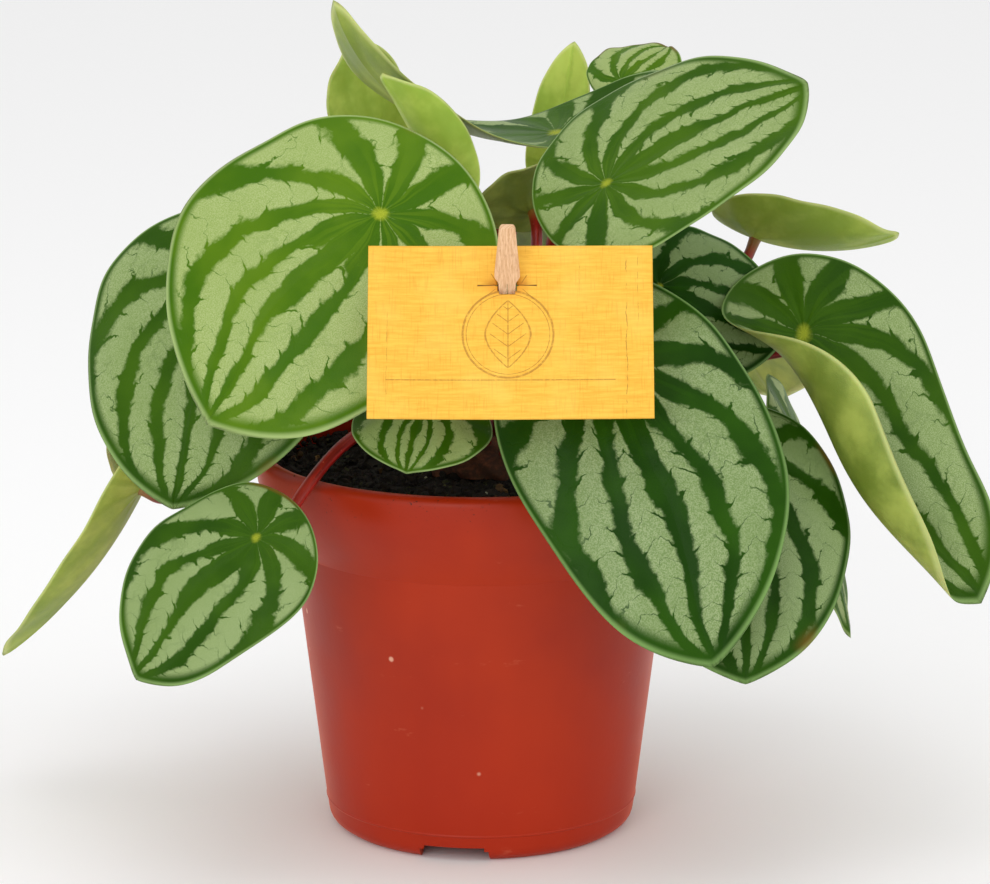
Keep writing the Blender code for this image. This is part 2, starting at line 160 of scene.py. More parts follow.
def mount(piece, node):
    """The piece stands for a node of the model: it joins the root body, and the node's own part is
    hidden.
    """
    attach(piece, "root")
    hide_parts(node)


pot = lathe("nursery_pot", filleted(POT_OUTER), POT_SIDES)
bm = bmesh.new()
for i in range(NOTCHES):
    azimuth = math.radians(NOTCH_AZIMUTH + i * 360.0 / NOTCHES)
    made = bmesh.ops.create_cube(bm, size=1.0)["verts"]
    bmesh.ops.scale(bm, vec=Vector(NOTCH_SIZE) * MM, verts=made)
    upright = [e for v in made for e in v.link_edges
               if abs(e.verts[0].co.y) * 2 > 0.99 * NOTCH_SIZE[1] * MM
               and e.verts[0].co.z > 0 and e.verts[1].co.z > 0
               and abs(e.verts[0].co.x - e.verts[1].co.x) > MM]
    rounded = bmesh.ops.bevel(bm, geom=list(set(upright)), offset=NOTCH_CORNER * MM, segments=4,
                              affect="EDGES")
    part = list({v for v in made if v.is_valid} | set(rounded["verts"]))
    ring = 0.5 * (POT_OUTER[11][0] + POT_OUTER[12][0]) * MM
    bmesh.ops.translate(bm, vec=(ring, 0, 0), verts=part)
    bmesh.ops.rotate(bm, cent=(0, 0, 0), verts=part, matrix=Matrix.Rotation(azimuth, 3, "Z"))
cut(pot, bm)
bm = bmesh.new()
for i in range(DRAINS):
    azimuth = math.radians(NOTCH_AZIMUTH + (i + 0.5) * 360.0 / DRAINS)
    made = bmesh.ops.create_cone(bm, cap_ends=True, segments=28, depth=6 * MM,
                                 radius1=DRAIN_RADIUS * MM, radius2=DRAIN_RADIUS * MM)["verts"]
    where = Vector((math.cos(azimuth), math.sin(azimuth), 0)) * DRAIN_CIRCLE + Vector((0, 0, 5))
    bmesh.ops.translate(bm, vec=where * MM, verts=made)
cut(pot, bm)
smooth(pot.data)


def rgb(red, green, blue):
    """A colour from 0 to 255 display values, as the shaders take it."""
    linear = [((c / 255 + 0.055) / 1.055) ** 2.4 if c > 10 else c / 3295 for c in (red, green, blue)]
    return (*linear, 1.0)


class Graph:
    """Short ways to add and join the nodes of a material or a node group."""

    def __init__(self, tree):
        self.tree = tree

    def add(self, kind, inputs=(), **settings):
        """A node with its settings, and inputs given as values or as other nodes' outputs."""
        made = self.tree.nodes.new(kind)
        for key, value in settings.items():
            setattr(made, key, value)
        for key, value in dict(inputs).items():
            self.give(made.inputs[key], value)
        return made

    def give(self, socket, value):
        if isinstance(value, bpy.types.NodeSocket):
            self.tree.links.new(value, socket)
        else:
            socket.default_value = value

    def math(self, operation, *values, clamp=False):
        made = self.tree.nodes.new("ShaderNodeMath")
        made.operation = operation
        made.use_clamp = clamp
        for socket, value in zip(made.inputs, values):
            self.give(socket, value)
        return made.outputs[0]

    def times(self, first, second):
        return self.math("MULTIPLY", first, second)

    def plus(self, first, second):
        return self.math("ADD", first, second)

    def minus(self, first, second, clamp=False):
        return self.math("SUBTRACT", first, second, clamp=clamp)

    def absolute(self, value):
        return self.math("ABSOLUTE", value)

    def step(self, value, low, high, out_low=0.0, out_high=1.0):
        """A smooth step from low to high."""
        made = self.add("ShaderNodeMapRange", interpolation_type="SMOOTHSTEP")
        for socket, given in zip(made.inputs, (value, low, high, out_low, out_high)):
            self.give(socket, given)
        return made.outputs[0]

    def mix(self, factor, first, second, blend="MIX"):
        made = self.add("ShaderNodeMix", data_type="RGBA", blend_type=blend, clamp_factor=True)
        self.give(made.inputs["Factor"], factor)
        self.give(made.inputs["A"], first)
        self.give(made.inputs["B"], second)
        return made.outputs["Result"]

    def noise(self, where, scale, detail=2.0, rough=0.5, out=0):
        """Noise over a position. Output 0 is the value and 1 the colour."""
        return self.add("ShaderNodeTexNoise", {"Vector": where, "Scale": scale, "Detail": detail,
                                               "Roughness": rough}).outputs[out]

    def stretch(self, where, scale, offset=(0, 0, 0)):
        return self.add("ShaderNodeMapping", {"Vector": where, "Scale": scale,
                                              "Location": offset}).outputs[0]

    def split(self, vector):
        return self.add("ShaderNodeSeparateXYZ", {"Vector": vector}).outputs


def material(name, **values):
    """A new material: its graph and its Principled shader, with the plain values set on it."""
    made = bpy.data.materials.new(name)
    made.use_nodes = True
    shader = made.node_tree.nodes["Principled BSDF"]
    for key, value in values.items():
        label = "Specular IOR Level" if key == "specular" else key.replace("_", " ").title()
        shader.inputs[label].default_value = value
    return made, Graph(made.node_tree), shader


def bump(graph, shader, height, strength, distance):
    """Feed a height to the shader's normal."""
    made = graph.add("ShaderNodeBump", {"Height": height, "Strength": strength,
                                        "Distance": distance})
    graph.give(shader.inputs["Normal"], made.outputs[0])


def polypropylene():
    """Moulded orange-brown plastic with scuffs, pale specks, compost dust below the rim and a painted
    sheen where it turns away.
    """
    made, g, shader = material("terracotta_plastic", specular=0.22)
    where = g.add("ShaderNodeTexCoord").outputs["Object"]
    x, y, z = g.split(where)
    mottle = g.noise(where, 26.0, 3.0, 0.55)
    flow = g.noise(g.stretch(where, (60, 60, 9)), 1.0, 2.0)
    tone = g.plus(g.times(mottle, 0.7), g.times(flow, 0.3))
    colour = g.mix(g.step(tone, 0.3, 0.72), rgb(156, 36, 4), rgb(172, 46, 8))
    # the moulding is a little more orange towards the foot
    colour = g.mix(g.step(z, 0.0, 0.06, 0.45, 0.0), colour, rgb(172, 36, 2))
    scuff = g.noise(g.stretch(where, (90, 90, 260), (3, 1, 2)), 1.0, 4.0, 0.7)
    colour = g.mix(g.step(scuff, 0.66, 0.78, 0.0, 0.25), colour, rgb(214, 120, 90))
    speck = g.add("ShaderNodeTexVoronoi", {"Vector": where, "Scale": 130.0})
    chosen = g.math("GREATER_THAN", g.split(speck.outputs["Color"])[0], 0.93)
    near = g.step(speck.outputs["Distance"], 0.06, 0.13, 1.0, 0.0)
    colour = g.mix(g.times(g.times(chosen, near), 0.75), colour,
                   rgb(235, 178, 150))
    # fine compost dust, densest just under the rim
    dust = g.noise(where, 900.0, 3.0, 0.7)
    patch = g.noise(where, 60.0, 2.0)
    high = g.step(z, 0.088, 0.1025)
    dusty = g.times(g.step(dust, 0.62, 0.68), g.step(patch, 0.45, 0.62))
    colour = g.mix(g.times(dusty, high), colour, rgb(58, 24, 12))
    # painted sheen: the colour is made paler where the surface turns away from the camera, standing in
    # for the reflection of the white surroundings at grazing angles
    facing = g.add("ShaderNodeLayerWeight", {"Blend": 0.35}).outputs["Facing"]
    colour = g.mix(g.step(facing, 0.45, 0.95, 0.0, 0.6), colour, rgb(222, 92, 44))
    g.give(shader.inputs["Base Color"], colour)
    g.give(shader.inputs["Roughness"], g.step(mottle, 0.25, 0.75, 0.36, 0.52))
    bump(g, shader, g.plus(scuff, g.noise(where, 700.0, 2.0)), 0.12, 0.0002)
    return made


coat(pot, polypropylene())
mount(pot, "pot")

# --- Compost ----------------------------------------------------------------------------------
# Dark peat compost, filled by hand to just below the rim. It is loose crumbs with some bark
# chips, plant fibre and pale perlite, and a little of it has been spilled on the rim.

SOIL_TOP = 97.9
SOIL_RADIUS = 56.0
SOIL_SIDE = [(56.0, 96.6), (55.6, 90.4), (52.9, 84.2), (49.1, 78.0), (39.9, 7.9), (38.6, 6.1)]
SOIL_FLOOR = 6.1
SOIL_RINGS = 40
SOIL_SIDES = 168
LUMP_HEIGHT = 0.9       # share of the lumps' height that is used


def lumps(x, y):
    """Height of the compost's lumpy top above its level, in mm, over x and y in mm."""
    height = 0.0
    for i, (pitch, size) in enumerate(((23.0, 0.55), (11.0, 0.45), (5.2, 0.35), (2.7, 0.22))):
        turn = 1.3 * i + 0.7
        u = (x * math.cos(turn) + y * math.sin(turn)) / pitch
        v = (y * math.cos(turn) - x * math.sin(turn)) / pitch
        height = height + size * np.sin(math.tau * u + 1.7 * np.sin(2.3 * v + i)) * np.cos(math.tau * v)
    return height


line = [(SOIL_RADIUS * k / SOIL_RINGS, SOIL_TOP) for k in range(SOIL_RINGS + 1)]
compost = lathe("compost", line + SOIL_SIDE + [(0.0, SOIL_FLOOR)], SOIL_SIDES)
for vert in compost.data.vertices:
    reach = math.hypot(vert.co.x, vert.co.y) / MM
    if vert.co.z > (SOIL_TOP - 0.5) * MM:
        hollow = -1.1 * (reach / SOIL_RADIUS) ** 6
        lump = float(lumps(vert.co.x / MM, vert.co.y / MM))
        vert.co.z += (hollow + LUMP_HEIGHT * lump) * MM


def peat(name, dark, light, roughness=0.9):
    """Crumbly stuff: two tones in fine grains, each grain rough."""
    made, g, shader = material(name, specular=0.3)
    where = g.add("ShaderNodeTexCoord").outputs["Object"]
    grain = g.noise(where, 420.0, 5.0, 0.7)
    patch = g.noise(where, 70.0, 2.0)
    colour = g.mix(g.step(grain, 0.42, 0.74), dark, light)
    g.give(shader.inputs["Base Color"], g.mix(g.step(patch, 0.35, 0.7, 0.0, 0.5), colour, dark))
    g.give(shader.inputs["Roughness"], g.step(grain, 0.3, 0.7, roughness - 0.1, roughness))
    bump(g, shader, g.noise(where, 1500.0, 4.0, 0.75), 0.7, 0.0005)
    return made


peat_dark = peat("peat", rgb(16, 11, 8), rgb(50, 38, 26))
bark_brown = peat("bark_chip", rgb(70, 48, 24), rgb(128, 96, 48), 0.8)
fibre_olive = peat("fibre", rgb(44, 44, 22), rgb(96, 96, 56), 0.85)
perlite_pale = peat("perlite", rgb(150, 150, 128), rgb(205, 203, 186), 0.8)
coat(compost, peat_dark)
mount(compost, "soil")


DISC_RINGS = 16
DISC_SIDES = 96


def scatter_tree():
    """Geometry nodes that scatter rough lumps over a surface, each half sunk into it."""
    tree = bpy.data.node_groups.new("scatter_lumps", "GeometryNodeTree")
    g = Graph(tree)
    for name, kind, value in (("Surface", "Geometry", None), ("Per square metre", "Float", 1e5),
                              ("Length", "Float", 0.002), ("Flatness", "Float", 0.6),
                              ("Seed", "Int", 1), ("Finish", "Material", None)):
        made = tree.interface.new_socket(name, in_out="INPUT", socket_type="NodeSocket" + kind)
        if value is not None:
            made.default_value = value
    tree.interface.new_socket("Lumps", in_out="OUTPUT", socket_type="NodeSocketGeometry")
    given = g.add("NodeGroupInput").outputs
    points = g.add("GeometryNodeDistributePointsOnFaces", {
        "Mesh": given["Surface"], "Density": given["Per square metre"], "Seed": given["Seed"]})
    lump = g.add("GeometryNodeMeshIcoSphere", {"Radius": 0.5, "Subdivisions": 2})
    turn = g.add("FunctionNodeRandomValue", {"Seed": given["Seed"]}, data_type="FLOAT_VECTOR")
    turn.inputs["Max"].default_value = (math.tau, math.tau, math.tau)
    size = g.add("FunctionNodeRandomValue", {"Seed": g.plus(given["Seed"], 7.0)},
                 data_type="FLOAT_VECTOR")
    size.inputs["Min"].default_value = (0.45, 0.35, 0.35)
    size.inputs["Max"].default_value = (1.25, 1.0, 0.9)
    flat = g.add("ShaderNodeCombineXYZ", {"X": 1.0, "Y": 1.0, "Z": given["Flatness"]})
    shape = g.add("ShaderNodeVectorMath", {0: size.outputs["Value"], 1: flat.outputs[0]},
                  operation="MULTIPLY")
    scale = g.add("ShaderNodeVectorMath", {0: shape.outputs[0], "Scale": given["Length"]},
                  operation="SCALE")
    placed = g.add("GeometryNodeInstanceOnPoints", {
        "Points": points.outputs["Points"], "Instance": lump.outputs["Mesh"],
        "Rotation": turn.outputs["Value"], "Scale": scale.outputs[0]})
    real = g.add("GeometryNodeRealizeInstances", {"Geometry": placed.outputs[0]})
    rough = g.add("ShaderNodeTexNoise", {"Scale": 650.0, "Detail": 2.0})
    centred = g.add("ShaderNodeVectorMath", {0: rough.outputs["Color"], 1: (0.5, 0.5, 0.5)},
                    operation="SUBTRACT")
    offset = g.add("ShaderNodeVectorMath", {
        0: centred.outputs[0], "Scale": g.times(given["Length"], 0.9)},
        operation="SCALE")
    torn = g.add("GeometryNodeSetPosition", {"Geometry": real.outputs[0],
                                             "Offset": offset.outputs[0]})
    finish = g.add("GeometryNodeSetMaterial", {"Geometry": torn.outputs[0],
                                               "Material": given["Finish"]})
    g.add("NodeGroupOutput", {"Lumps": finish.outputs[0]})
    return tree


def disc(name, inner, outer, height):
    """A ring in mm over which crumbs are scattered, following the compost's lumps."""
    bm = bmesh.new()
    rows = []
    for radius in np.linspace(inner, outer, DISC_RINGS):
        row = []
        for a in np.linspace(0, math.tau, DISC_SIDES, endpoint=False):
            x, y = radius * math.cos(a), radius * math.sin(a)
            row.append(bm.verts.new((x * MM, y * MM,
                                     (height + LUMP_HEIGHT * float(lumps(x, y))) * MM)))
        rows.append(row)
    for low, high in zip(rows, rows[1:]):
        for i in range(DISC_SIDES):
            j = (i + 1) % DISC_SIDES
            bm.faces.new((low[i], high[i], high[j], low[j]))
    return as_object(name, bm)


def scatter(name, ring, finish, density, length, flatness, seed):
    """Crumbs as one plain mesh."""
    piece = disc(name, *ring)
    modifier = piece.modifiers.new("scatter", "NODES")
    modifier.node_group = lump_scatter
    sockets = {item.name: item.identifier for item in lump_scatter.interface.items_tree}
    modifier[sockets["Per square metre"]] = density
    modifier[sockets["Length"]] = length * MM
    modifier[sockets["Flatness"]] = flatness
    modifier[sockets["Seed"]] = seed
    modifier[sockets["Finish"]] = finish
    settle(piece)
    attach(piece, "root")


lump_scatter = scatter_tree()
BED = (2.0, 54.2, 97.6)
scatter("peat_crumbs", BED, peat_dark, 2.6e5, 2.3, 0.8, 3)
scatter("peat_clods", BED, peat_dark, 2.4e4, 4.6, 0.75, 11)
scatter("bark_chips", BED, bark_brown, 4.2e3, 4.0, 0.45, 5)
scatter("fibre_bits", BED, fibre_olive, 1.5e4, 2.5, 0.5, 23)
scatter("perlite", BED, perlite_pale, 5.0e3, 1.7, 0.9, 9)
scatter("edge_crumbs", (52.5, 55.4, 98.6), peat_dark, 2.2e5, 1.7, 0.8, 15)
scatter("rim_crumbs", (56.9, 59.0, 103.0), bark_brown, 1.5e4, 0.8, 0.8, 31)

# --- Rootstock --------------------------------------------------------------------------------
# The short thick stem base, half buried in the compost. It is corky and brown, ringed by the
# scars of old leaves.

CROWN_X = 2.0
CROWN_RADIUS = 20.0
CROWN_HEIGHT = 9.0
CROWN_BASE = 98.3

line = [(CROWN_RADIUS * math.sin(a), CROWN_BASE + CROWN_HEIGHT * math.cos(a))
        for a in np.linspace(0, math.pi / 2, 26)]
rootstock = lathe("rootstock", line + [(0.0, CROWN_BASE)], 96)
for vert in rootstock.data.vertices:
    x, y = vert.co.x / MM, vert.co.y / MM
    high = (vert.co.z / MM - CROWN_BASE) / CROWN_HEIGHT
    azimuth = math.atan2(y, x)
    bulge = 1 + 0.05 * math.sin(5 * azimuth + 1.0) + 0.03 * math.sin(13 * azimuth + 9 * high)
    vert.co.x = (CROWN_X + x * (bulge - 0.06)) * MM
    vert.co.y = y * (bulge - 0.06) * MM
    vert.co.z -= (0.25 + 0.25 * math.sin(26 * high + 3 * azimuth)) * high * MM
coat(rootstock, peat("cork", rgb(62, 34, 20), rgb(120, 66, 40), 0.8))
mount(rootstock, "crown")

# --- Leaf shapes ------------------------------------------------------------------------------
# Each blade is a thick, juicy shield that grows on the end of its stalk, joined near its middle.
# A row gives where the stalk joins, where the tip lies, how the blade faces and bends, its
# age (0 young and light to 1 dark, and also painted shade for a blade in shade), and how finely it is
# modelled.

Blade = namedtuple(
    "Blade",
    "name attach tip facing width bend base left right twist sweep ramp age cells",
    defaults=(20, 0.34, (0.5, 10, 10), (0.5, 10, 10), 0, 0, None, 0.5, 64),
)
BLADES = [
    Blade("front_left", (-25, -50, 175), (-69, -62, 123), (-97, 27), 80, 22,
          left=(0.5, 8, 14), right=(0.5, 8, 14), sweep=-4.5, age=0.12, cells=96),
    Blade("left", (-67, -26, 154), (-79, -46, 97), (-113, 27), 76, 28,
          base=0.37, left=(0.5, 6, 16), right=(0.5, 6, 16), sweep=1, age=0.62, cells=96),
    Blade("pot_left", (-56, -67, 95), (-87, -75, 60), (-101, 35), 44, 14,
          base=0.27, left=(0.5, 5, 10), right=(0.5, 5, 10), sweep=-3, age=0.66, cells=80),
    Blade("far_left", (-92, 0, 92), (-133, 20, 40), (162, 34), 32, -26,
          left=(0.4, -20, -10), right=(0.4, -20, -10), age=0.35),
    Blade("left_back", (-87, 46, 118), (-102, 44, 83), (143, 24), 40, 20, age=0.5),
    Blade("top", (20, 9, 187), (-37, -14, 225), (4, 56), 34, -84,
          base=0.42, twist=30, left=(0.5, -6, -6), right=(0.5, -6, -6), age=0.6, cells=88),
    Blade("top_left", (-29, 32, 183), (-35, 22, 210), (124, 16), 28, 10,
          left=(0.5, 20, 50), right=(0.5, 10, 20), age=0.1),
    Blade("top_fold", (-10, -20, 180), (-25, -26, 207), (42, 22), 24, 10,
          left=(0.4, -40, -30), right=(0.4, -40, -30), age=0.05),
    Blade("top_tip", (20, 58, 172), (26, 54, 206), (80, 15), 17, -10, age=0.0),
    Blade("upper_right", (31.5, -42, 181), (83, -37, 206), (-101, 57), 61, 14,
          left=(0.5, 0.5, 12), right=(0.5, -3, 1), sweep=1.5, age=0.5, cells=96),
    Blade("upper_back", (38, 31, 198), (52, 43, 206), (-63, 70), 28, 30, age=0.2),
    Blade("right_back", (75, 27, 156), (112, 12, 160), (60, 68), 40, -40,
          left=(0.4, -30, -20), right=(0.4, -30, -20), age=0.3),
    # right_shade's age of 0.9 is partly its own dark tone and partly painted shade for the shade it
    # lies in
    Blade("right_shade", (47, -13, 149), (79, -13, 133), (-88, 30), 44, 24, age=0.9),
    Blade("right", (85, -20, 138), (130, -42, 71), (-97, 30), 57, 26, base=0.28,
          left=(0.4, 10, 16), right=(0.38, -100, -62), sweep=-5.5, ramp=(-0.5, 0.35), age=0.66,
          cells=110),
    Blade("front_right", (32, -64, 137), (58, -92, 68), (-92, 25), 67, 20,
          left=(0.5, 8, 12), right=(0.5, 8, 12), sweep=3, age=0.85, cells=96),
    Blade("front_right_back", (63, -47, 110), (67, -76, 59), (-80, 30), 65, 26, age=0.82,
          cells=80),
    Blade("right_low", (85, -5, 107), (97, -33, 59), (-18, 22), 33, 10, age=0.2),
    Blade("front_low", (-14, -52, 126), (-19, -64, 111), (-101, 50), 38, 24, age=0.4),
    Blade("centre", (14, -4, 168), (18, -19, 184), (99, 35), 34, 10, age=0.8),
    Blade("back_left", (-56, 49, 149), (-84, 78, 115), (122, 41), 64, 24, age=0.5, cells=80),
    Blade("back", (4, 56, 156), (10, 92, 125), (92, 45), 70, 24, age=0.65, cells=80),
    Blade("back_right", (55, 46, 137), (85, 78, 100), (60, 36), 68, 24, age=0.4, cells=80),
    Blade("back_low", (-20, 61, 112), (-30, 87, 74), (104, 30), 54, 24, age=0.75),
    Blade("back_low_right", (30, 60, 110), (40, 84, 70), (76, 30), 50, 24, age=0.6),
]


def unit(vector):
    return vector / np.linalg.norm(vector)


class Shape:
    """Maps a blade's flat outline (s along the midrib, t across it, mm) into its place."""

    def __init__(self, blade):
        self.blade = blade
        self.origin = np.array(blade.attach, float)
        chord = np.array(blade.tip, float) - self.origin
        self.along = unit(chord)
        azimuth, elevation = np.radians(blade.facing)
        facing = np.array((math.cos(elevation) * math.cos(azimuth),
                           math.cos(elevation) * math.sin(azimuth), math.sin(elevation)))
        self.normal = unit(facing - facing.dot(self.along) * self.along)
        self.across = np.cross(self.normal, self.along)
        self.half_turn = math.radians(blade.bend) / 2
        self.length = np.linalg.norm(chord) * self.half_turn / math.sin(self.half_turn)
        self.curvature = 2 * self.half_turn / self.length
        self.reach_back = blade.base * self.length

    def outline(self, angle):
        """Points of the flat outline at angles about the blade's middle, 0 at the tip."""
        q = np.cos(angle)
        half_length = 0.5 * (self.length + self.reach_back)
        middle = 0.5 * (self.length - self.reach_back)
        front = np.clip(q, 0, 1)
        oval = np.sqrt(np.clip(1 - q * q, 0, 1))
        # the last stretch is drawn out to a point
        taper = (1 - 0.16 * q) * (1 - 0.36 * front ** 6) * np.clip(1 - front ** 16, 0, 1) ** 0.3
        width = 0.5 * self.blade.width * oval * taper
        return middle + half_length * q, np.copysign(width, np.sin(angle))

    def folded(self, share, fold, growth):
        """Reach out and drop, in half widths, at shares of the half width."""
        start, inner, outer = fold
        inner = math.radians(inner) * growth / start
        outer = math.radians(outer) * growth / (1 - start)
        near = np.minimum(share, start)
        far = np.maximum(share - start, 0)
        turned_by = inner * start
        out = np.sin(inner * near) / inner
        out += (np.sin(turned_by + outer * far) - np.sin(turned_by)) / outer
        drop = (1 - np.cos(inner * near)) / inner
        drop += (np.cos(turned_by) - np.cos(turned_by + outer * far)) / outer
        return out, drop

    def place(self, s, t):
        """Points of the upper face over (s, t), in mm."""
        blade = self.blade
        growth = np.ones_like(s)
        if blade.ramp:
            first, last = blade.ramp
            growth = np.clip((s / self.length - first) / (last - first), 0.02, 1)
            growth = growth * growth * (3 - 2 * growth)
        half_width = 0.5 * blade.width
        left = self.folded(np.abs(t) / half_width, blade.left, growth)
        right = self.folded(np.abs(t) / half_width, blade.right, growth)
        out = np.where(t >= 0, left[0], -right[0]) * half_width
        drop = np.where(t >= 0, left[1], right[1]) * half_width
        out = out + blade.sweep * np.sin(math.pi * np.clip(s / self.length, 0, 1)) ** 2
        twist = math.radians(blade.twist) * s / self.length
        aside = out * np.cos(twist) + drop * np.sin(twist)
        drop = drop * np.cos(twist) - out * np.sin(twist)
        angle = self.half_turn - self.curvature * s
        forward = (math.sin(self.half_turn) - np.sin(angle)) / self.curvature
        rise = (np.cos(angle) - math.cos(self.half_turn)) / self.curvature
        forward = forward + np.sin(angle) * drop
        rise = rise - np.cos(angle) * drop
        return (self.origin + forward[:, None] * self.along + rise[:, None] * self.normal
                + aside[:, None] * self.across)

    def face_normals(self, s, t):
        """The upper face's own direction over (s, t)."""
        step = 0.05
        along = self.place(s + step, t) - self.place(s - step, t)
        across = self.place(s, t + step) - self.place(s, t - step)
        normals = np.cross(along, across)
        return normals / np.linalg.norm(normals, axis=1)[:, None]

    def joint(self, below):
        """Where the stalk meets the blade's underside, and the upward direction there."""
        up = math.cos(self.half_turn) * self.normal - math.sin(self.half_turn) * self.along
        return self.origin - below * up, up


# --- Petioles ---------------------------------------------------------------------------------
# The stalks are round, smooth and full of sap, dark red with paler streaks. Each rises from the
# rootstock, bends over and swells a little where it enters its blade.

ROOT_RADIUS = 1.9
TIP_RADIUS = 1.4
RINGS = (3.5, 8.5, 14.5)    # circles on the rootstock, mm
PULL_OUT = 0.36
PULL_IN = 0.30
STRAIGHT_END = 2.5
ROOT_LIFT = 0.6             # a stalk's straight start above the domed rootstock, mm
FOOT_DEPTH = 1.6            # how far the stalk reaches down into the rootstock
SEAT_DEPTH = 1.65           # where the straight end stops, below the blade's upper face
TIP_DEPTH = 0.7             # where the stalk ends inside the blade, below its upper face
FORK_PULLS = (10, 8, 17)    # bezier handles before and after the peg's fork, and at the blade
STALK_SIDES = 20
Root = namedtuple("Root", "ring azimuth towards pull_in", defaults=(None, PULL_IN))
ROOTS = {
    "front_left": Root(1, -130), "left": Root(1, -162), "left_back": Root(2, 165),
    "pot_left": Root(2, -146, (-36, -42, 134), 0.22), "top": Root(1, 45),
    "far_left": Root(2, -170, (-46, -40, 140), 0.20), "top_left": Root(1, 160),
    "top_fold": Root(0, -150), "top_tip": Root(0, 100, (3, 24, 168), 0.15),
    "upper_right": Root(1, -98, (-18, -50, 134)), "upper_back": Root(1, 85),
    "right_back": Root(1, -3), "right_shade": Root(1, -32), "right": Root(2, -4),
    "front_right": Root(2, -70), "front_right_back": Root(2, -48), "right_low": Root(2, -26),
    "front_low": Root(2, -121), "centre": Root(0, -30), "back_left": Root(2, 138),
    "back": Root(1, 115), "back_right": Root(2, 48), "back_low": Root(2, 106, (-12, 36, 126), 0.08),
    "back_low_right": Root(2, 74, (14, 36, 126), 0.08),
}
FORK_AT = np.array((6.8, -66.52, 147.2))        # where the peg's fork holds a stalk
FORK_RISE = unit(np.array((0.0, 0.16, 1.0)))


def bezier(p0, p1, p2, p3, count):
    k = np.linspace(0, 1, count)[:, None]
    return ((1 - k) ** 3 * p0 + 3 * (1 - k) ** 2 * k * p1 + 3 * (1 - k) * k * k * p2
            + k ** 3 * p3)


def stalk_path(shape):
    """Points from the rootstock to just inside the blade."""
    root = ROOTS[shape.blade.name]
    radius = RINGS[root.ring]
    share = math.sqrt(1 - (radius / CROWN_RADIUS) ** 2)
    azimuth = math.radians(root.azimuth)
    away = np.array((math.cos(azimuth), math.sin(azimuth), 0.0))
    out = unit(CROWN_HEIGHT * radius / (CROWN_RADIUS ** 2 * share) * away + (0, 0, 1))
    start = np.array((CROWN_X, 0, CROWN_BASE + CROWN_HEIGHT * share)) + radius * away
    rise = start + (ROOT_LIFT + STRAIGHT_END) * out
    end, up = shape.joint(SEAT_DEPTH)
    meet = end - STRAIGHT_END * up
    if shape.blade.name == "upper_right":
        before, after, at_blade = FORK_PULLS
        low = bezier(rise, np.array(root.towards), FORK_AT - before * FORK_RISE, FORK_AT, 34)
        high = bezier(FORK_AT, FORK_AT + after * FORK_RISE, meet - at_blade * up, meet, 26)
        middle = np.vstack((low, high[1:]))
    else:
        span = np.linalg.norm(end - start - ROOT_LIFT * out)
        first = start + (ROOT_LIFT + PULL_OUT * span) * out
        if root.towards:
            first = np.array(root.towards)
        middle = bezier(rise, first, meet - root.pull_in * span * up, meet, 44)
    foot = start - FOOT_DEPTH * out
    return np.vstack((foot, start, middle, end, shape.joint(TIP_DEPTH)[0]))


def stalk(shape):
    """A tapered tube along the path, with a slow waver in its thickness."""
    path = stalk_path(shape)
    steps = np.linalg.norm(np.diff(path, axis=0), axis=1)
    run = np.concatenate(([0], np.cumsum(steps)))
    share = run / run[-1]
    radii = ROOT_RADIUS + share * (TIP_RADIUS - ROOT_RADIUS)
    radii *= 1 + 0.025 * np.sin(run / 3.1 + shape.origin[0])
    radii += 0.35 * np.exp(-run / 3.0) + 0.45 * np.exp((run - run[-1]) / 1.6)
    angles = np.linspace(0, math.tau, STALK_SIDES, endpoint=False)
    tangents = np.gradient(path, axis=0)
    side = unit(np.cross(tangents[0], (0.31, 0.17, 0.93)))
    bm = bmesh.new()
    layer = bm.loops.layers.uv.new("along")
    rows = []
    for point, tangent, radius in zip(path, tangents, radii):
        tangent = unit(tangent)
        side = unit(side - side.dot(tangent) * tangent)
        other = np.cross(tangent, side)
        rows.append([bm.verts.new((point + radius * (math.cos(a) * side + math.sin(a) * other)) * MM)
                     for a in angles])
    for k, (low, high) in enumerate(zip(rows, rows[1:])):
        for i in range(STALK_SIDES):
            j = (i + 1) % STALK_SIDES
            face = bm.faces.new((low[i], low[j], high[j], high[i]))
            marks = ((i, k), (i + 1, k), (i + 1, k + 1), (i, k + 1))
            for loop, (a, row) in zip(face.loops, marks):
                loop[layer].uv = (a / STALK_SIDES, share[row])
    bm.faces.new(rows[0][::-1])
    bm.faces.new(rows[-1])
    return as_object("stalk_" + shape.blade.name, bm, 60.0)


def stalk_skin():
    """Glossy red skin, streaked, darker near the root and greener at the blade."""
    made, g, shader = material("petiole_skin", roughness=0.34, subsurface_weight=0.12,
                               subsurface_scale=0.0015, specular=0.45)
    uv = g.add("ShaderNodeUVMap", uv_map="along").outputs[0]
    where = g.add("ShaderNodeTexCoord").outputs["Object"]
    along = g.split(uv)[1]
    streak = g.noise(g.stretch(uv, (9, 5, 1)), 1.0, 3.0, 0.6)
    patch = g.noise(where, 55.0, 3.0)
    colour = g.mix(g.step(streak, 0.36, 0.7), rgb(104, 12, 10), rgb(172, 30, 24))
    colour = g.mix(g.step(patch, 0.42, 0.72, 0.0, 0.6), colour, rgb(190, 52, 40))
    colour = g.mix(g.step(along, 0.0, 0.2, 0.55, 0.0), colour, rgb(58, 10, 8))
    colour = g.mix(g.step(along, 0.93, 1.0, 0.0, 0.7), colour, rgb(150, 120, 50))
    fleck = g.noise(where, 1200.0, 2.0)
    colour = g.mix(g.step(fleck, 0.66, 0.72, 0.0, 0.45), colour, rgb(206, 104, 80))
    g.give(shader.inputs["Base Color"], colour)
    bump(g, shader, streak, 0.15, 0.0003)
    return made


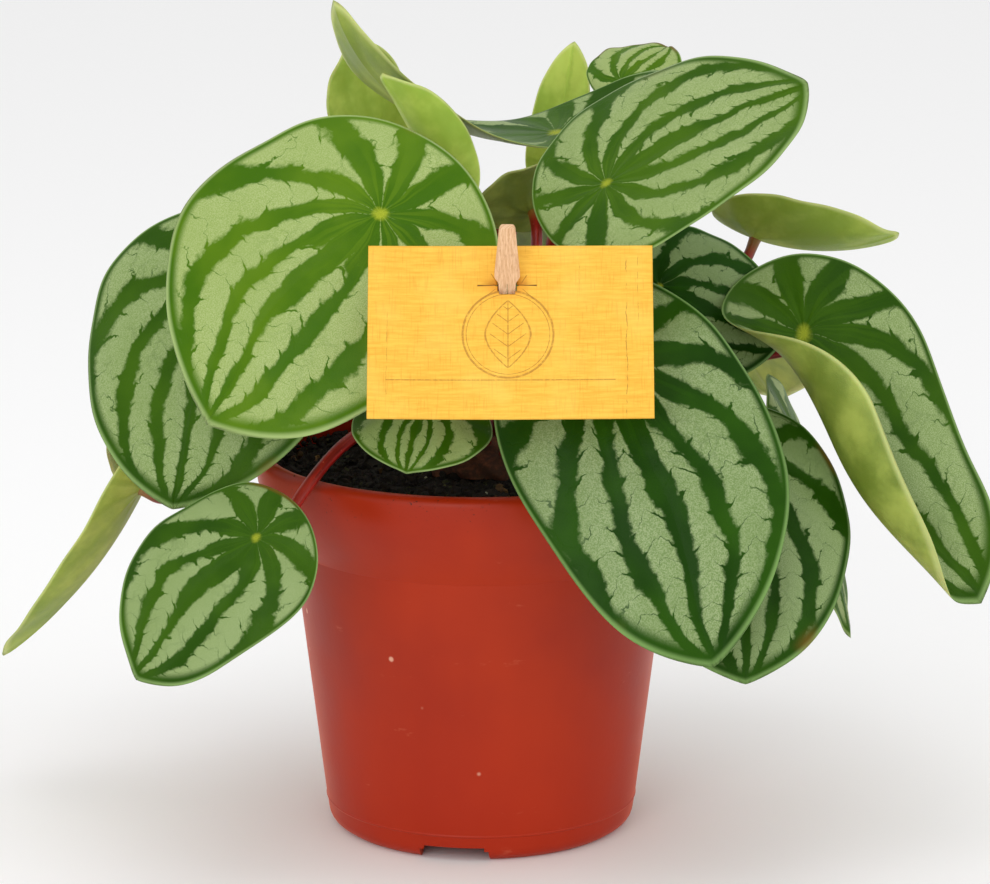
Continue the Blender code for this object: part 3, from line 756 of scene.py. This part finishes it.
petiole_skin = stalk_skin()
shapes = {blade.name: Shape(blade) for blade in BLADES}
for name, shape in shapes.items():
    piece = stalk(shape)
    piece.data.materials.append(petiole_skin)
    mount(piece, "petiole_" + name)

# --- Leaf blades ------------------------------------------------------------------------------
# The upper skin is banded: dark green along the veins, which fan out from the stalk and meet
# again at the tip, and silver between them, where air lies under the skin. The underside is
# plain yellow-green. The rim is pale and rounded.

LEAF_THICKNESS = 0.95
VEIN_DENT = 0.28        # how far the veins lie below the quilted skin, mm


def leaf_figure():
    """Node group: the masks of the leaf's pattern over its flat outline.

    The figure's x runs along the midrib, 0 at the stalk and 1 at the tip, and y across it. A
    vein is a line along which the sum of the two angles seen from stalk and tip stays the same.
    """
    tree = bpy.data.node_groups.new("leaf_figure", "ShaderNodeTree")
    for name, kind in (("Figure", "Vector"), ("Seed", "Float"), ("Rim", "Float"),
                       ("Veins", "Float")):
        tree.interface.new_socket(name, in_out="INPUT", socket_type="NodeSocket" + kind)
    for name in ("Silver", "Thread", "Spot", "Ray", "Grain", "Fold"):
        tree.interface.new_socket(name, in_out="OUTPUT", socket_type="NodeSocketFloat")
    g = Graph(tree)
    given = g.add("NodeGroupInput").outputs
    shift = g.add("ShaderNodeCombineXYZ", {
        "X": given["Seed"], "Y": g.times(given["Seed"], 2.3), "Z": given["Seed"]}).outputs[0]
    moved = g.add("ShaderNodeVectorMath", {0: given["Figure"], 1: shift}).outputs[0]
    # slow drift of the whole figure
    drift = g.add("ShaderNodeVectorMath", {0: g.noise(moved, 3.4, 2.0, 0.5, 1),
                                           1: (0.5, 0.5, 0.5)}, operation="SUBTRACT").outputs[0]
    drift = g.add("ShaderNodeVectorMath", {0: drift, "Scale": 0.085}, operation="SCALE").outputs[0]
    drawn = g.add("ShaderNodeVectorMath", {0: given["Figure"], 1: drift}).outputs[0]
    x, y, _ = g.split(drawn)
    rest = g.minus(1.02, x)
    from_stalk = g.math("ARCTAN2", y, x)
    from_tip = g.math("ARCTAN2", y, rest)
    y2 = g.times(y, y)
    near_stalk = g.math("SQRT", g.plus(g.times(x, x), y2))
    near_tip = g.math("SQRT", g.plus(g.times(rest, rest), y2))
    turn = g.times(g.plus(from_stalk, from_tip),
                  g.times(given["Veins"], 1 / math.tau))
    # torn band edges
    coarse = g.minus(g.noise(moved, 9.0, 2.0), 0.5)
    fine = g.minus(g.noise(moved, 34.0, 5.0, 0.72), 0.5)
    torn = g.plus(turn, g.plus(g.times(coarse, 0.30),
                                      g.times(fine, 0.22)))
    band = g.math("ROUND", torn)
    off_vein = g.absolute(g.minus(torn, band))
    # the green spreads near the stalk, along the midrib's first half and at the tip
    half = g.step(near_stalk, 0.07, 0.33, 0.47, 0.15)
    half = g.plus(half, g.step(near_tip, 0.03, 0.20, 0.16, 0.0))
    middle = g.step(g.absolute(turn), 0.3, 0.9, 1.0, 0.0)
    half = g.plus(half, g.times(middle, g.step(x, 0.25, 0.62, 0.22, 0.0)))
    blotch = g.noise(moved, 5.5, 1.0)
    half = g.plus(half, g.step(blotch, 0.3, 0.75, -0.03, 0.07))
    # thin side veins that cross the silver, dark where they leave a band
    ratio = g.math("LOGARITHM", g.math("DIVIDE", g.plus(near_stalk, 0.02), near_tip), math.e)
    cell = g.math("FLOOR", turn)
    hashed = g.math("FRACT", g.times(g.math("SINE", g.plus(g.times(cell, 12.9), given["Seed"])), 43.7))
    wander = g.times(g.minus(g.noise(moved, 11.0, 3.0, 0.6), 0.5), 1.5)
    slant = g.times(g.absolute(g.minus(g.minus(turn, cell),
                                                         0.5)), -1.5)
    ladder = g.plus(g.times(ratio, 3.4), g.plus(wander, g.plus(slant, g.times(hashed, 5.0))))
    rung = g.absolute(g.minus(g.math("FRACT", ladder), 0.5))
    # each side vein starts as a dark tooth on the band's edge
    tooth = g.math("POWER", g.minus(1.0, g.math("DIVIDE", rung, 0.17), clamp=True), 1.7)
    tooth = g.times(tooth, g.step(g.noise(moved, 8.0, 1.0), 0.38, 0.66, 0.02, 0.2))
    edge = g.minus(off_vein, g.plus(half, tooth))
    silver = g.times(g.step(edge, -0.03, 0.075), g.step(given["Rim"], 0.91, 0.965,
                                                                    1.0, 0.0))
    width = g.step(off_vein, 0.2, 0.5, 0.055, 0.012)
    thread = g.step(rung, g.times(width, 0.3), width, 1.0, 0.0)
    broken = g.step(g.noise(moved, 7.0, 1.0), 0.44, 0.56)
    thread = g.times(thread, g.math("MAXIMUM", broken, g.step(
        given["Rim"], 0.72, 0.86)))
    # second, finer net of veins inside the silver
    bent = g.add("ShaderNodeVectorMath", {0: moved, 1: g.add("ShaderNodeVectorMath", {
        0: g.noise(moved, 22.0, 3.0, 0.6, 1), "Scale": 0.05}, operation="SCALE").outputs[0]})
    net = g.add("ShaderNodeTexVoronoi", {"Vector": bent.outputs[0], "Scale": 13.0},
                feature="DISTANCE_TO_EDGE").outputs["Distance"]
    hair = g.times(g.step(net, 0.0, 0.09, 1.0, 0.0), g.step(
        g.noise(moved, 5.0, 1.0), 0.46, 0.7, 0.0, 0.22))
    thread = g.math("MAXIMUM", thread, hair)
    spot = g.step(g.plus(near_stalk, g.times(fine, 0.03)), 0.006, 0.036, 1.0, 0.0)
    spokes = g.noise(g.add("ShaderNodeCombineXYZ", {
        "X": g.times(turn, 2.6), "Y": near_stalk, "Z": given["Seed"]}).outputs[0], 1.7)
    ray = g.times(g.step(spokes, 0.5, 0.62), g.step(near_stalk, 0.04, 0.42, 1.0, 0.0))
    grain = g.noise(moved, 260.0, 2.0, 0.6)
    fold = g.step(off_vein, 0.0, 0.4)
    g.add("NodeGroupOutput", {"Silver": silver, "Thread": thread, "Spot": spot, "Ray": ray,
                              "Grain": grain, "Fold": fold})
    return tree


def leaf_inputs(g):
    """The figure group in a material, with the blade's own rim, age and seed values."""
    data = g.split(g.add("ShaderNodeAttribute", attribute_name="leaf").outputs["Vector"])
    made = g.add("ShaderNodeGroup", node_tree=figure_group)
    g.give(made.inputs["Figure"], g.add("ShaderNodeUVMap", uv_map="figure").outputs[0])
    g.give(made.inputs["Rim"], data[0])
    g.give(made.inputs["Seed"], data[2])
    g.give(made.inputs["Veins"], g.add("ShaderNodeAttribute", attribute_name="veins").outputs["Fac"])
    return made.outputs, data[0], data[1]


def upper_skin():
    """Banded upper skin: green veins, silver fields, pale rim, yellow spot at the stalk."""
    made, g, shader = material("leaf_upper")
    masks, rim, age = leaf_inputs(g)
    where = g.add("ShaderNodeTexCoord").outputs["Object"]
    cloud = g.noise(where, 46.0, 3.0)
    vein = g.mix(age, rgb(64, 106, 6), rgb(5, 42, 2))
    vein_light = g.mix(age, rgb(100, 134, 20), rgb(20, 72, 5))
    green = g.mix(g.step(cloud, 0.35, 0.72, 0.0, 0.7), vein, vein_light)
    green = g.mix(g.times(masks["Ray"], 0.5), green, vein_light)
    field = g.mix(age, rgb(170, 186, 118), rgb(142, 160, 114))
    field_dull = g.mix(age, rgb(140, 162, 80), rgb(100, 126, 70))
    silver = g.mix(g.step(masks["Grain"], 0.36, 0.66), field_dull, field)
    silver = g.mix(g.step(cloud, 0.4, 0.7, 0.0, 0.35), silver, field_dull)
    colour = g.mix(masks["Silver"], green, silver)
    thread = g.times(masks["Thread"], g.times(masks["Silver"], 0.85))
    colour = g.mix(thread, colour, g.mix(0.35, vein, vein_light))
    # brown where the rim has dried, yellow where the skin has aged
    dry = g.times(g.step(g.noise(where, 34.0, 1.0), 0.64, 0.72), g.step(
        g.plus(rim, g.times(masks["Grain"], 0.05)), 0.93, 1.01))
    worn = g.step(g.noise(where, 27.0, 2.0), 0.66, 0.78, 0.0, 0.5)
    colour = g.mix(g.times(worn, age), colour, rgb(150, 132, 60))
    edge = g.step(rim, 0.968, 0.994)
    colour = g.mix(g.times(edge, 0.65), colour, g.mix(age, rgb(190, 208, 140),
                                                                 rgb(126, 168, 92)))
    colour = g.mix(g.times(dry, 0.8), colour, rgb(120, 84, 30))
    colour = g.mix(masks["Spot"], colour, g.mix(age, rgb(164, 178, 46), rgb(142, 150, 40)))
    g.give(shader.inputs["Base Color"], colour)
    rough = g.plus(g.step(masks["Silver"], 0.0, 1.0, 0.36, 0.46),
                   g.times(g.minus(masks["Grain"], 0.5), 0.16))
    g.give(shader.inputs["Roughness"], rough)
    g.give(shader.inputs["Specular IOR Level"], g.plus(0.07, g.times(masks["Silver"], 0.22)))
    height = g.plus(g.times(masks["Fold"], 0.9), g.times(masks["Grain"], 0.22))
    height = g.minus(height, g.times(masks["Thread"], 0.2))
    bump(g, shader, height, 0.42, 0.0004)
    return made


def under_skin():
    """Plain underside, yellow-green, with the veins showing a little darker through it."""
    made, g, shader = material("leaf_underside", subsurface_weight=0.10, subsurface_scale=0.0015,
                               specular=0.4)
    masks, rim, age = leaf_inputs(g)
    where = g.add("ShaderNodeTexCoord").outputs["Object"]
    cloud = g.noise(where, 60.0, 4.0, 0.6)
    pale = g.mix(age, rgb(192, 214, 92), rgb(148, 158, 70))
    deep = g.mix(age, rgb(150, 182, 56), rgb(92, 102, 36))
    colour = g.mix(g.step(cloud, 0.34, 0.7), deep, pale)
    colour = g.mix(g.step(masks["Fold"], 0.0, 0.5, 0.42, 0.0), colour, deep)
    colour = g.mix(g.step(rim, 0.95, 0.99, 0.0, 0.6), colour, rgb(206, 216, 140))
    g.give(shader.inputs["Base Color"], colour)
    g.give(shader.inputs["Roughness"], g.step(cloud, 0.3, 0.7, 0.42, 0.56))
    bump(g, shader, g.minus(masks["Grain"], g.times(masks["Fold"], 1.5)),
         0.35, 0.0004)
    return made


def vein_sum(s, t, veins):
    """The vein count from the midrib at flat points, as the figure group draws it."""
    return (np.arctan2(t, s) + np.arctan2(t, np.maximum(1.02 - s, 0.001))) * veins / math.tau


def make_blade(shape, seed):
    """Upper and lower skin on one disc-shaped grid, joined in a rounded rim."""
    cells = shape.blade.cells
    axis = np.linspace(-1, 1, cells + 1)
    x, y = (a.ravel() for a in np.meshgrid(axis, axis, indexing="ij"))
    disc_x = x * np.sqrt(1 - y * y / 2)
    disc_y = y * np.sqrt(1 - x * x / 2)
    spoke = np.minimum(np.hypot(disc_x, disc_y), 1.0)
    angle = np.arctan2(disc_y, disc_x)
    edge_s, edge_t = shape.outline(angle)
    s, t = spoke * edge_s, spoke * edge_t
    # quilted skin between the veins, and a gentle wave along the rim
    veins = 7 + 2 * min(int(shape.blade.width / 28), 2)
    count = vein_sum(s / shape.length, t / shape.length, veins)
    quilt = np.cos(math.tau * count) * np.clip((np.hypot(s, t) / shape.length - 0.05) * 4, 0, 1)
    quilt *= np.clip((1 - spoke) * 8, 0, 1) * np.clip((1.0 - s / shape.length) * 5, 0, 1)
    phase = seed * 2.1
    wave = spoke ** 3 * (0.55 * np.sin(3 * angle + phase) + 0.35 * np.sin(7 * angle + 1.7 * phase)
                         + 0.15 * np.sin(13 * angle + phase))
    top = wave - 0.5 * VEIN_DENT * (1 + quilt)
    rounding = np.sqrt(np.clip(1 - spoke ** 14, 0, 1))
    middle = wave - 0.5 * LEAF_THICKNESS
    face = shape.place(s, t)
    normals = shape.face_normals(s, t)
    upper = face + (middle + (top - middle) * rounding)[:, None] * normals
    lower = face + (middle - 0.5 * LEAF_THICKNESS * rounding)[:, None] * normals
    side = cells + 1
    inside = (np.abs(x) < 0.9999) & (np.abs(y) < 0.9999)
    lower_index = np.arange(side * side)
    lower_index[inside] = side * side + np.arange(inside.sum())
    verts = np.vstack((upper, lower[inside])) * MM
    i, j = (a.ravel() for a in np.meshgrid(np.arange(cells), np.arange(cells), indexing="ij"))
    corner = i * side + j
    faces = np.stack((corner, corner + side, corner + side + 1, corner + 1), axis=1)
    under = lower_index[faces][:, ::-1]
    mesh = bpy.data.meshes.new("leaf_" + shape.blade.name)
    mesh.from_pydata(verts.tolist(), [], faces.tolist() + under.tolist())
    mesh.polygons.foreach_set("material_index", np.repeat((0, 1), len(faces)).astype(np.int32))
    whole = np.concatenate((np.arange(side * side), np.flatnonzero(inside)))
    loops = np.zeros(len(mesh.loops), np.int32)
    mesh.loops.foreach_get("vertex_index", loops)
    flat = np.stack((s, t), axis=1)[whole][loops] / shape.length
    mesh.uv_layers.new(name="figure").data.foreach_set("uv", flat.astype(np.float32).ravel())
    data = np.stack((spoke[whole], np.full(len(whole), shape.blade.age),
                     np.full(len(whole), 0.37 + 1.713 * seed)), axis=1)
    mesh.attributes.new("leaf", "FLOAT_VECTOR", "POINT").data.foreach_set(
        "vector", data.astype(np.float32).ravel())
    mesh.attributes.new("veins", "FLOAT", "POINT").data.foreach_set(
        "value", np.full(len(whole), veins, np.float32))
    mesh.shade_smooth()
    obj = bpy.data.objects.new(mesh.name, mesh)
    bpy.context.scene.collection.objects.link(obj)
    return obj


figure_group = leaf_figure()
leaf_upper = upper_skin()
leaf_underside = under_skin()
for number, (name, shape) in enumerate(shapes.items()):
    leaf = make_blade(shape, number)
    leaf.data.materials.append(leaf_upper)
    leaf.data.materials.append(leaf_underside)
    mount(leaf, "blade_" + name)

# --- Card -------------------------------------------------------------------------------------
# A stiff name card printed to look like a yellow wooden plank. Two cuts make a slit near its top,
# and the peg pushes the slit's lips apart. A plain leaf in a ring and a rule are printed on it.

CARD_SIZE = (70.4, 44.8)
CARD_THICKNESS = 0.6
CARD_CENTRE = np.array((7.6, -76.65, 149.3))
CARD_LEAN = math.radians(29.4)
SLIT = (-0.8, 12.05)
SLIT_HALF = 7.5
WINDOW = (2.7, -2.2, 1.5)       # half width, and reach below and above the slit
LIP = 1.0                       # how far the lips are pushed out of the card's plane
RING_AT = (-0.6, -0.6)          # middle of the printed ring

card_right = np.array((1.0, 0.0, 0.0))
card_up = np.array((0.0, math.sin(CARD_LEAN), math.cos(CARD_LEAN)))
card_out = np.cross(card_right, card_up)


def make_card():
    """A fine grid with the window left out, split along the slit, bent at the lips."""
    width, height = CARD_SIZE
    columns = np.linspace(-width / 2, width / 2, 177)
    rows = np.sort(np.append(np.linspace(-height / 2, height / 2, 114), SLIT[1]))
    bm = bmesh.new()
    layer = bm.loops.layers.uv.new("card")

    def bent(x, y, above):
        """Offset out of the plane at a point of the card."""
        u = (x - SLIT[0]) / SLIT_HALF
        v = y - SLIT[1]
        reach = max(1 - u * u, 0.0) ** 1.5
        lift = -LIP * reach * math.exp(-abs(v) / 2.6) * (1 if above else -1)
        bow = 0.5 * (2 * x / width) ** 2 + 0.25 * math.sin(x / 17.0 + y / 23.0)
        return lift + bow

    def row_of(y, above):
        made = []
        for x in columns:
            out = bent(x, y, above)
            point = CARD_CENTRE + x * card_right + y * card_up + out * card_out
            made.append((bm.verts.new(point * MM), x, y))
        return made

    slit_row = int(np.argmin(abs(rows - SLIT[1])))
    lower = [row_of(y, False) for y in rows[:slit_row + 1]]
    upper = [row_of(y, True) for y in rows[slit_row:]]
    for part in (lower, upper):
        for low, high in zip(part, part[1:]):
            for k in range(len(columns) - 1):
                corners = (low[k], low[k + 1], high[k + 1], high[k])
                x = sum(c[1] for c in corners) / 4 - SLIT[0]
                y = sum(c[2] for c in corners) / 4 - SLIT[1]
                if abs(x) < WINDOW[0] * (1 - 0.12 * abs(y)) and WINDOW[1] < y < WINDOW[2]:
                    continue
                face = bm.faces.new([c[0] for c in corners])
                for loop, corner in zip(face.loops, corners):
                    loop[layer].uv = (corner[1] / width + 0.5, corner[2] / width + 0.5)
    # the halves are one sheet beyond the ends of the slit
    outside = [v for v, x, y in lower[-1] + upper[0] if abs(x - SLIT[0]) > SLIT_HALF]
    bmesh.ops.remove_doubles(bm, verts=outside, dist=0.01 * MM)
    loose = [v for v in bm.verts if not v.link_faces]
    bmesh.ops.delete(bm, geom=loose, context="VERTS")
    card = as_object("name_card", bm, 50.0)
    shell = card.modifiers.new("stock", "SOLIDIFY")
    shell.thickness = CARD_THICKNESS * MM
    shell.offset = 0.0
    shell.material_offset_rim = 1
    return settle(card)


def card_print():
    """Amber plank print with grain, cracks, a rule and a plain leaf in a worn ring, and painted shade
    along the slit and its creases.
    """
    made, g, shader = material("card_print", specular=0.3)
    uv = g.add("ShaderNodeUVMap", uv_map="card").outputs[0]
    u, v, _ = g.split(uv)
    x = g.times(g.minus(u, 0.5), CARD_SIZE[0])
    y = g.times(g.minus(v, 0.5), CARD_SIZE[0])
    grain = g.noise(g.stretch(uv, (7, 95, 1)), 1.0, 5.0, 0.6)
    fine = g.noise(g.stretch(uv, (26, 320, 1), (2, 5, 0)), 1.0, 3.0)
    cross = g.noise(g.stretch(uv, (180, 11, 1), (4, 1, 0)), 1.0, 3.0)
    cloud = g.noise(uv, 5.0, 3.0)
    colour = g.mix(g.step(grain, 0.32, 0.68), rgb(233, 172, 52), rgb(246, 192, 70))
    colour = g.mix(g.step(fine, 0.5, 0.72, 0.0, 0.35), colour, rgb(214, 148, 36))
    colour = g.mix(g.step(cross, 0.52, 0.74, 0.0, 0.5), colour, rgb(206, 140, 34))
    colour = g.mix(g.step(cloud, 0.42, 0.72, 0.0, 0.4), colour, rgb(250, 204, 92))

    def stroke(distance, half):
        return g.step(distance, half * 0.55, half * 1.25, 1.0, 0.0)

    def both(*masks):
        total = masks[0]
        for mask in masks[1:]:
            total = g.times(total, mask)
        return total

    # a long crack near the right edge, and shorter ones
    ink = 0.0
    for at, low, high, waver, half in ((28.6, -22, 20, 0.4, 0.13), (31.5, 2, 21, 0.3, 0.07),
                                       (-30.5, -18, 6, 0.3, 0.07), (17.0, 9, 21, 0.4, 0.06)):
        path = g.times(g.minus(g.noise(g.add("ShaderNodeCombineXYZ", {
            "X": at, "Y": g.times(y, 0.16)}).outputs[0], 1.0, 4.0, 0.7), 0.5), waver * 4)
        line = stroke(g.absolute(g.minus(g.minus(x, at), path)), half)
        faint = g.step(g.noise(g.add("ShaderNodeCombineXYZ", {"X": at + 3.0, "Y": y}).outputs[0],
                               0.4, 2.0), 0.36, 0.6)
        line = both(line, g.step(y, low, low + 2.0), g.step(y, high - 2.0, high, 1.0, 0.0), faint)
        ink = g.math("MAXIMUM", ink, line)
    colour = g.mix(g.times(ink, 0.6), colour, rgb(128, 84, 22))
    # painted shadow: a dark line along the slit stands in for the shadow in its gap, and darker orange
    # round it is painted shade where the card bends about the peg
    off_slit_x = g.absolute(g.minus(x, SLIT[0]))
    off_slit_y = g.minus(y, SLIT[1])
    slit_gap_painted_shadow = both(stroke(g.absolute(off_slit_y), 0.22),
                    g.step(off_slit_x, SLIT_HALF - 0.3, SLIT_HALF, 1.0, 0.0))
    bend = g.math("SQRT", g.plus(g.math("POWER", g.math("DIVIDE", off_slit_x, 6.5), 2.0),
                                 g.math("POWER", g.math("DIVIDE", off_slit_y, 3.4), 2.0)))
    bend = g.plus(bend, g.times(g.minus(cloud, 0.5), 0.8))
    colour = g.mix(g.step(bend, 0.2, 1.1, 0.75, 0.0), colour, rgb(214, 132, 18))
    # painted shade: short dark strokes that run out from the slit stand in for the shade in the card's
    # creases
    crease_painted_shade = 0.0
    for at_x, at_y, slope, low, high in ((-2.6, 1.0, -1.6, 0.6, 3.4), (3.6, 0.8, 1.5, 0.6, 3.0),
                                         (-3.6, -1.6, 0.75, -4.2, -0.8),
                                         (4.2, -1.4, -0.9, -4.0, -0.8)):
        run = g.minus(g.minus(x, SLIT[0]), g.plus(at_x, g.math(
            "DIVIDE", g.minus(off_slit_y, at_y), slope)))
        line = both(stroke(g.absolute(run), 0.16), g.step(off_slit_y, low, low + 0.5),
                    g.step(off_slit_y, high - 0.5, high, 1.0, 0.0))
        crease_painted_shade = g.math("MAXIMUM", crease_painted_shade, line)
    colour = g.mix(g.times(crease_painted_shade, 0.55), colour, rgb(140, 84, 14))
    # painted shadow of the slit's gap, laid over the painted crease shade
    colour = g.mix(g.times(slit_gap_painted_shadow, 0.9), colour, rgb(96, 56, 10))
    # rule above the bare foot of the card
    rule = both(stroke(g.absolute(g.plus(y, 12.4)), 0.16),
                g.step(g.absolute(g.minus(x, -2.4)), 28.0, 28.4, 1.0, 0.0))
    # leaf outline: two arcs that meet in points, a midrib and four pairs of side veins
    lx = g.minus(x, RING_AT[0])
    ly = g.minus(y, RING_AT[1])
    round_it = g.math("SQRT", g.plus(g.times(lx, lx), g.times(ly, ly)))
    ring = g.math("MAXIMUM", stroke(g.absolute(g.minus(round_it, 11.2)), 0.3),
                  stroke(g.absolute(g.minus(round_it, 10.3)), 0.12))
    inside = g.step(g.absolute(ly), 8.6, 8.8, 1.0, 0.0)
    belly = g.times(g.minus(1.0, g.math("POWER", g.absolute(g.math("DIVIDE", ly, 8.7)), 1.8)), 5.6)
    outline = both(stroke(g.absolute(g.minus(g.absolute(lx), belly)),
                          0.26), inside)
    midrib = both(stroke(g.absolute(lx), 0.18), g.step(g.absolute(ly), 8.4, 8.7,
                                                               1.0, 0.0))
    across = g.absolute(lx)
    rise = g.math("FRACT", g.plus(g.math("DIVIDE", g.minus(ly, g.times(across, 0.75)), 3.2), 0.5))
    side = both(stroke(g.times(g.absolute(g.minus(rise, 0.5)), 3.2),
                       0.17), g.step(g.minus(g.times(belly, 0.82), across),
                                     0.0, 0.2), g.step(g.absolute(ly), 7.2, 7.4, 1.0, 0.0))
    printed = g.math("MAXIMUM", g.math("MAXIMUM", rule, outline), g.math("MAXIMUM", midrib, side))
    printed = g.math("MAXIMUM", printed, ring)
    worn = g.step(g.noise(uv, 90.0, 3.0), 0.3, 0.55, 0.45, 1.0)
    colour = g.mix(both(printed, worn, 0.62), colour, rgb(146, 96, 26))
    g.give(shader.inputs["Base Color"], colour)
    g.give(shader.inputs["Roughness"], g.step(grain, 0.3, 0.7, 0.5, 0.62))
    bump(g, shader, grain, 0.08, 0.0002)
    return made


def card_edge():
    """Pale cut edge of the board."""
    made, g, shader = material("card_edge", roughness=0.8)
    where = g.add("ShaderNodeTexCoord").outputs["Object"]
    colour = g.mix(g.noise(where, 900.0, 2.0), rgb(246, 230, 176), rgb(250, 206, 110))
    g.give(shader.inputs["Base Color"], colour)
    return made


card = make_card()
coat(card, card_print(), card_edge())
mount(card, "label_card")

# --- Peg --------------------------------------------------------------------------------------
# A small peg sawn from one piece of beech. Its rounded head stands in front of the card, its
# tongue goes through the slit, and its forked end grips a stalk behind.

PEG_TILT = math.radians(20.0)
PEG_THICKNESS = 2.2
PEG_EASING = 0.28
PEG_RIGHT = [       # half outline from the head's top down, with corner radii
    (1.95, 16.9, 1.6), (2.35, 12.0, 3.0), (3.2, 3.0, 0.8), (2.15, 1.5, 0.5), (2.05, -2.2, 0.6),
    (4.5, -6.0, 1.2), (4.5, -15.4, 0.5), (4.2, -16.8, 0.4), (3.9, -16.8, 0.4), (2.9, -14.0, 1.0),
    (2.9, -8.4, 1.6), (0.12, -5.4, 0.2), (0.05, 1.2, 0.0),
]


def make_peg():
    """The outline drawn out to a board, its edges rounded, then tilted and moved to the slit."""
    right = filleted(PEG_RIGHT + [(0.0, 1.4, 0.0), (0.0, 16.9, 0.0)], 6)[:-2]
    outline = right + [(-x, y) for x, y in reversed(right)]
    bm = bmesh.new()
    front = [bm.verts.new((x * MM, y * MM, 0.5 * PEG_THICKNESS * MM)) for x, y in outline]
    back = [bm.verts.new((x * MM, y * MM, -0.5 * PEG_THICKNESS * MM)) for x, y in outline]
    count = len(outline)
    bm.faces.new(front)
    bm.faces.new(back[::-1])
    for k in range(count):
        bm.faces.new((front[k], back[k], back[(k + 1) % count], front[(k + 1) % count]))
    bmesh.ops.remove_doubles(bm, verts=bm.verts, dist=0.01 * MM)
    bmesh.ops.recalc_face_normals(bm, faces=bm.faces)
    peg = as_object("peg", bm, 30.0)
    edge = peg.modifiers.new("eased", "BEVEL")
    edge.width = PEG_EASING * MM
    edge.segments = 3
    edge.limit_method = "ANGLE"
    edge.angle_limit = math.radians(50)
    settle(peg)
    up = np.array((0, -math.sin(PEG_TILT), math.cos(PEG_TILT)))
    out = np.array((0, -math.cos(PEG_TILT), -math.sin(PEG_TILT)))
    slit = CARD_CENTRE + SLIT[0] * card_right + SLIT[1] * card_up
    layer = peg.data.uv_layers.new(name="board")
    for loop in peg.data.loops:
        local = peg.data.vertices[loop.vertex_index].co / MM
        layer.data[loop.index].uv = (local.x / 10 + local.z / 14, local.y / 10)
    for vert in peg.data.vertices:
        local = vert.co / MM
        place = slit + local.x * card_right + local.y * up + local.z * out
        vert.co = Vector(place) * MM
    smooth(peg.data, 40.0)
    return peg


def beech():
    """Bare pinkish wood with fine flecks along the grain."""
    made, g, shader = material("beech", roughness=0.62, specular=0.35)
    uv = g.add("ShaderNodeUVMap", uv_map="board").outputs[0]
    grain = g.noise(g.stretch(uv, (22, 2.2, 1)), 1.0, 4.0, 0.65)
    fleck = g.noise(g.stretch(uv, (60, 7, 1), (3, 7, 1)), 1.0, 2.0)
    colour = g.mix(g.step(grain, 0.3, 0.7), rgb(206, 160, 116), rgb(238, 200, 160))
    colour = g.mix(g.step(fleck, 0.56, 0.68, 0.0, 0.5), colour, rgb(176, 122, 84))
    g.give(shader.inputs["Base Color"], colour)
    bump(g, shader, grain, 0.3, 0.0003)
    return made


peg = make_peg()
coat(peg, beech())
mount(peg, "label_peg")

# --- Floor, light and camera ------------------------------------------------------------------
# A plain pale floor under soft studio light, seen from a little above and in front.

bm = bmesh.new()
bmesh.ops.create_grid(bm, x_segments=2, y_segments=2, size=6.0)
floor = as_object("floor", bm)
paper, g, shader = material("floor_paper", base_color=rgb(250, 250, 250), roughness=0.9,
                            specular=0.1)
floor.data.materials.append(paper)
floor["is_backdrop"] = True

world = bpy.data.worlds.new("studio")
world.use_nodes = True
world.node_tree.nodes["Background"].inputs["Color"].default_value = (1.0, 1.0, 1.0, 1.0)
world.node_tree.nodes["Background"].inputs["Strength"].default_value = 0.88
bpy.context.scene.world = world


def softbox(name, place, aim, size, power):
    """A square area light aimed at a point, in metres and watts."""
    data = bpy.data.lights.new(name, "AREA")
    data.size = size
    data.energy = power
    lamp = bpy.data.objects.new(name, data)
    lamp.location = place
    lamp.rotation_euler = (Vector(aim) - Vector(place)).to_track_quat("-Z", "Y").to_euler()
    bpy.context.scene.collection.objects.link(lamp)


softbox("overhead", (-0.15, -0.45, 1.5), (0, 0, 0.12), 0.9, 3.0)
softbox("front", (-0.5, -1.5, 0.7), (0, 0, 0.12), 0.8, 6.0)
softbox("right_fill", (1.3, -0.7, 0.7), (0, 0, 0.12), 0.9, 2.0)

view = bpy.data.cameras.new("camera")
view.lens = 138.8
view.sensor_width = 36.0
view.clip_end = 50.0
camera = bpy.data.objects.new("camera", view)
camera.location = (0.0038, -1.0, 0.328)
camera.rotation_euler = (math.radians(77.4), 0.0, 0.0)
bpy.context.scene.collection.objects.link(camera)
bpy.context.scene.camera = camera
bpy.context.scene.view_settings.view_transform = "Standard"

low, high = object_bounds()
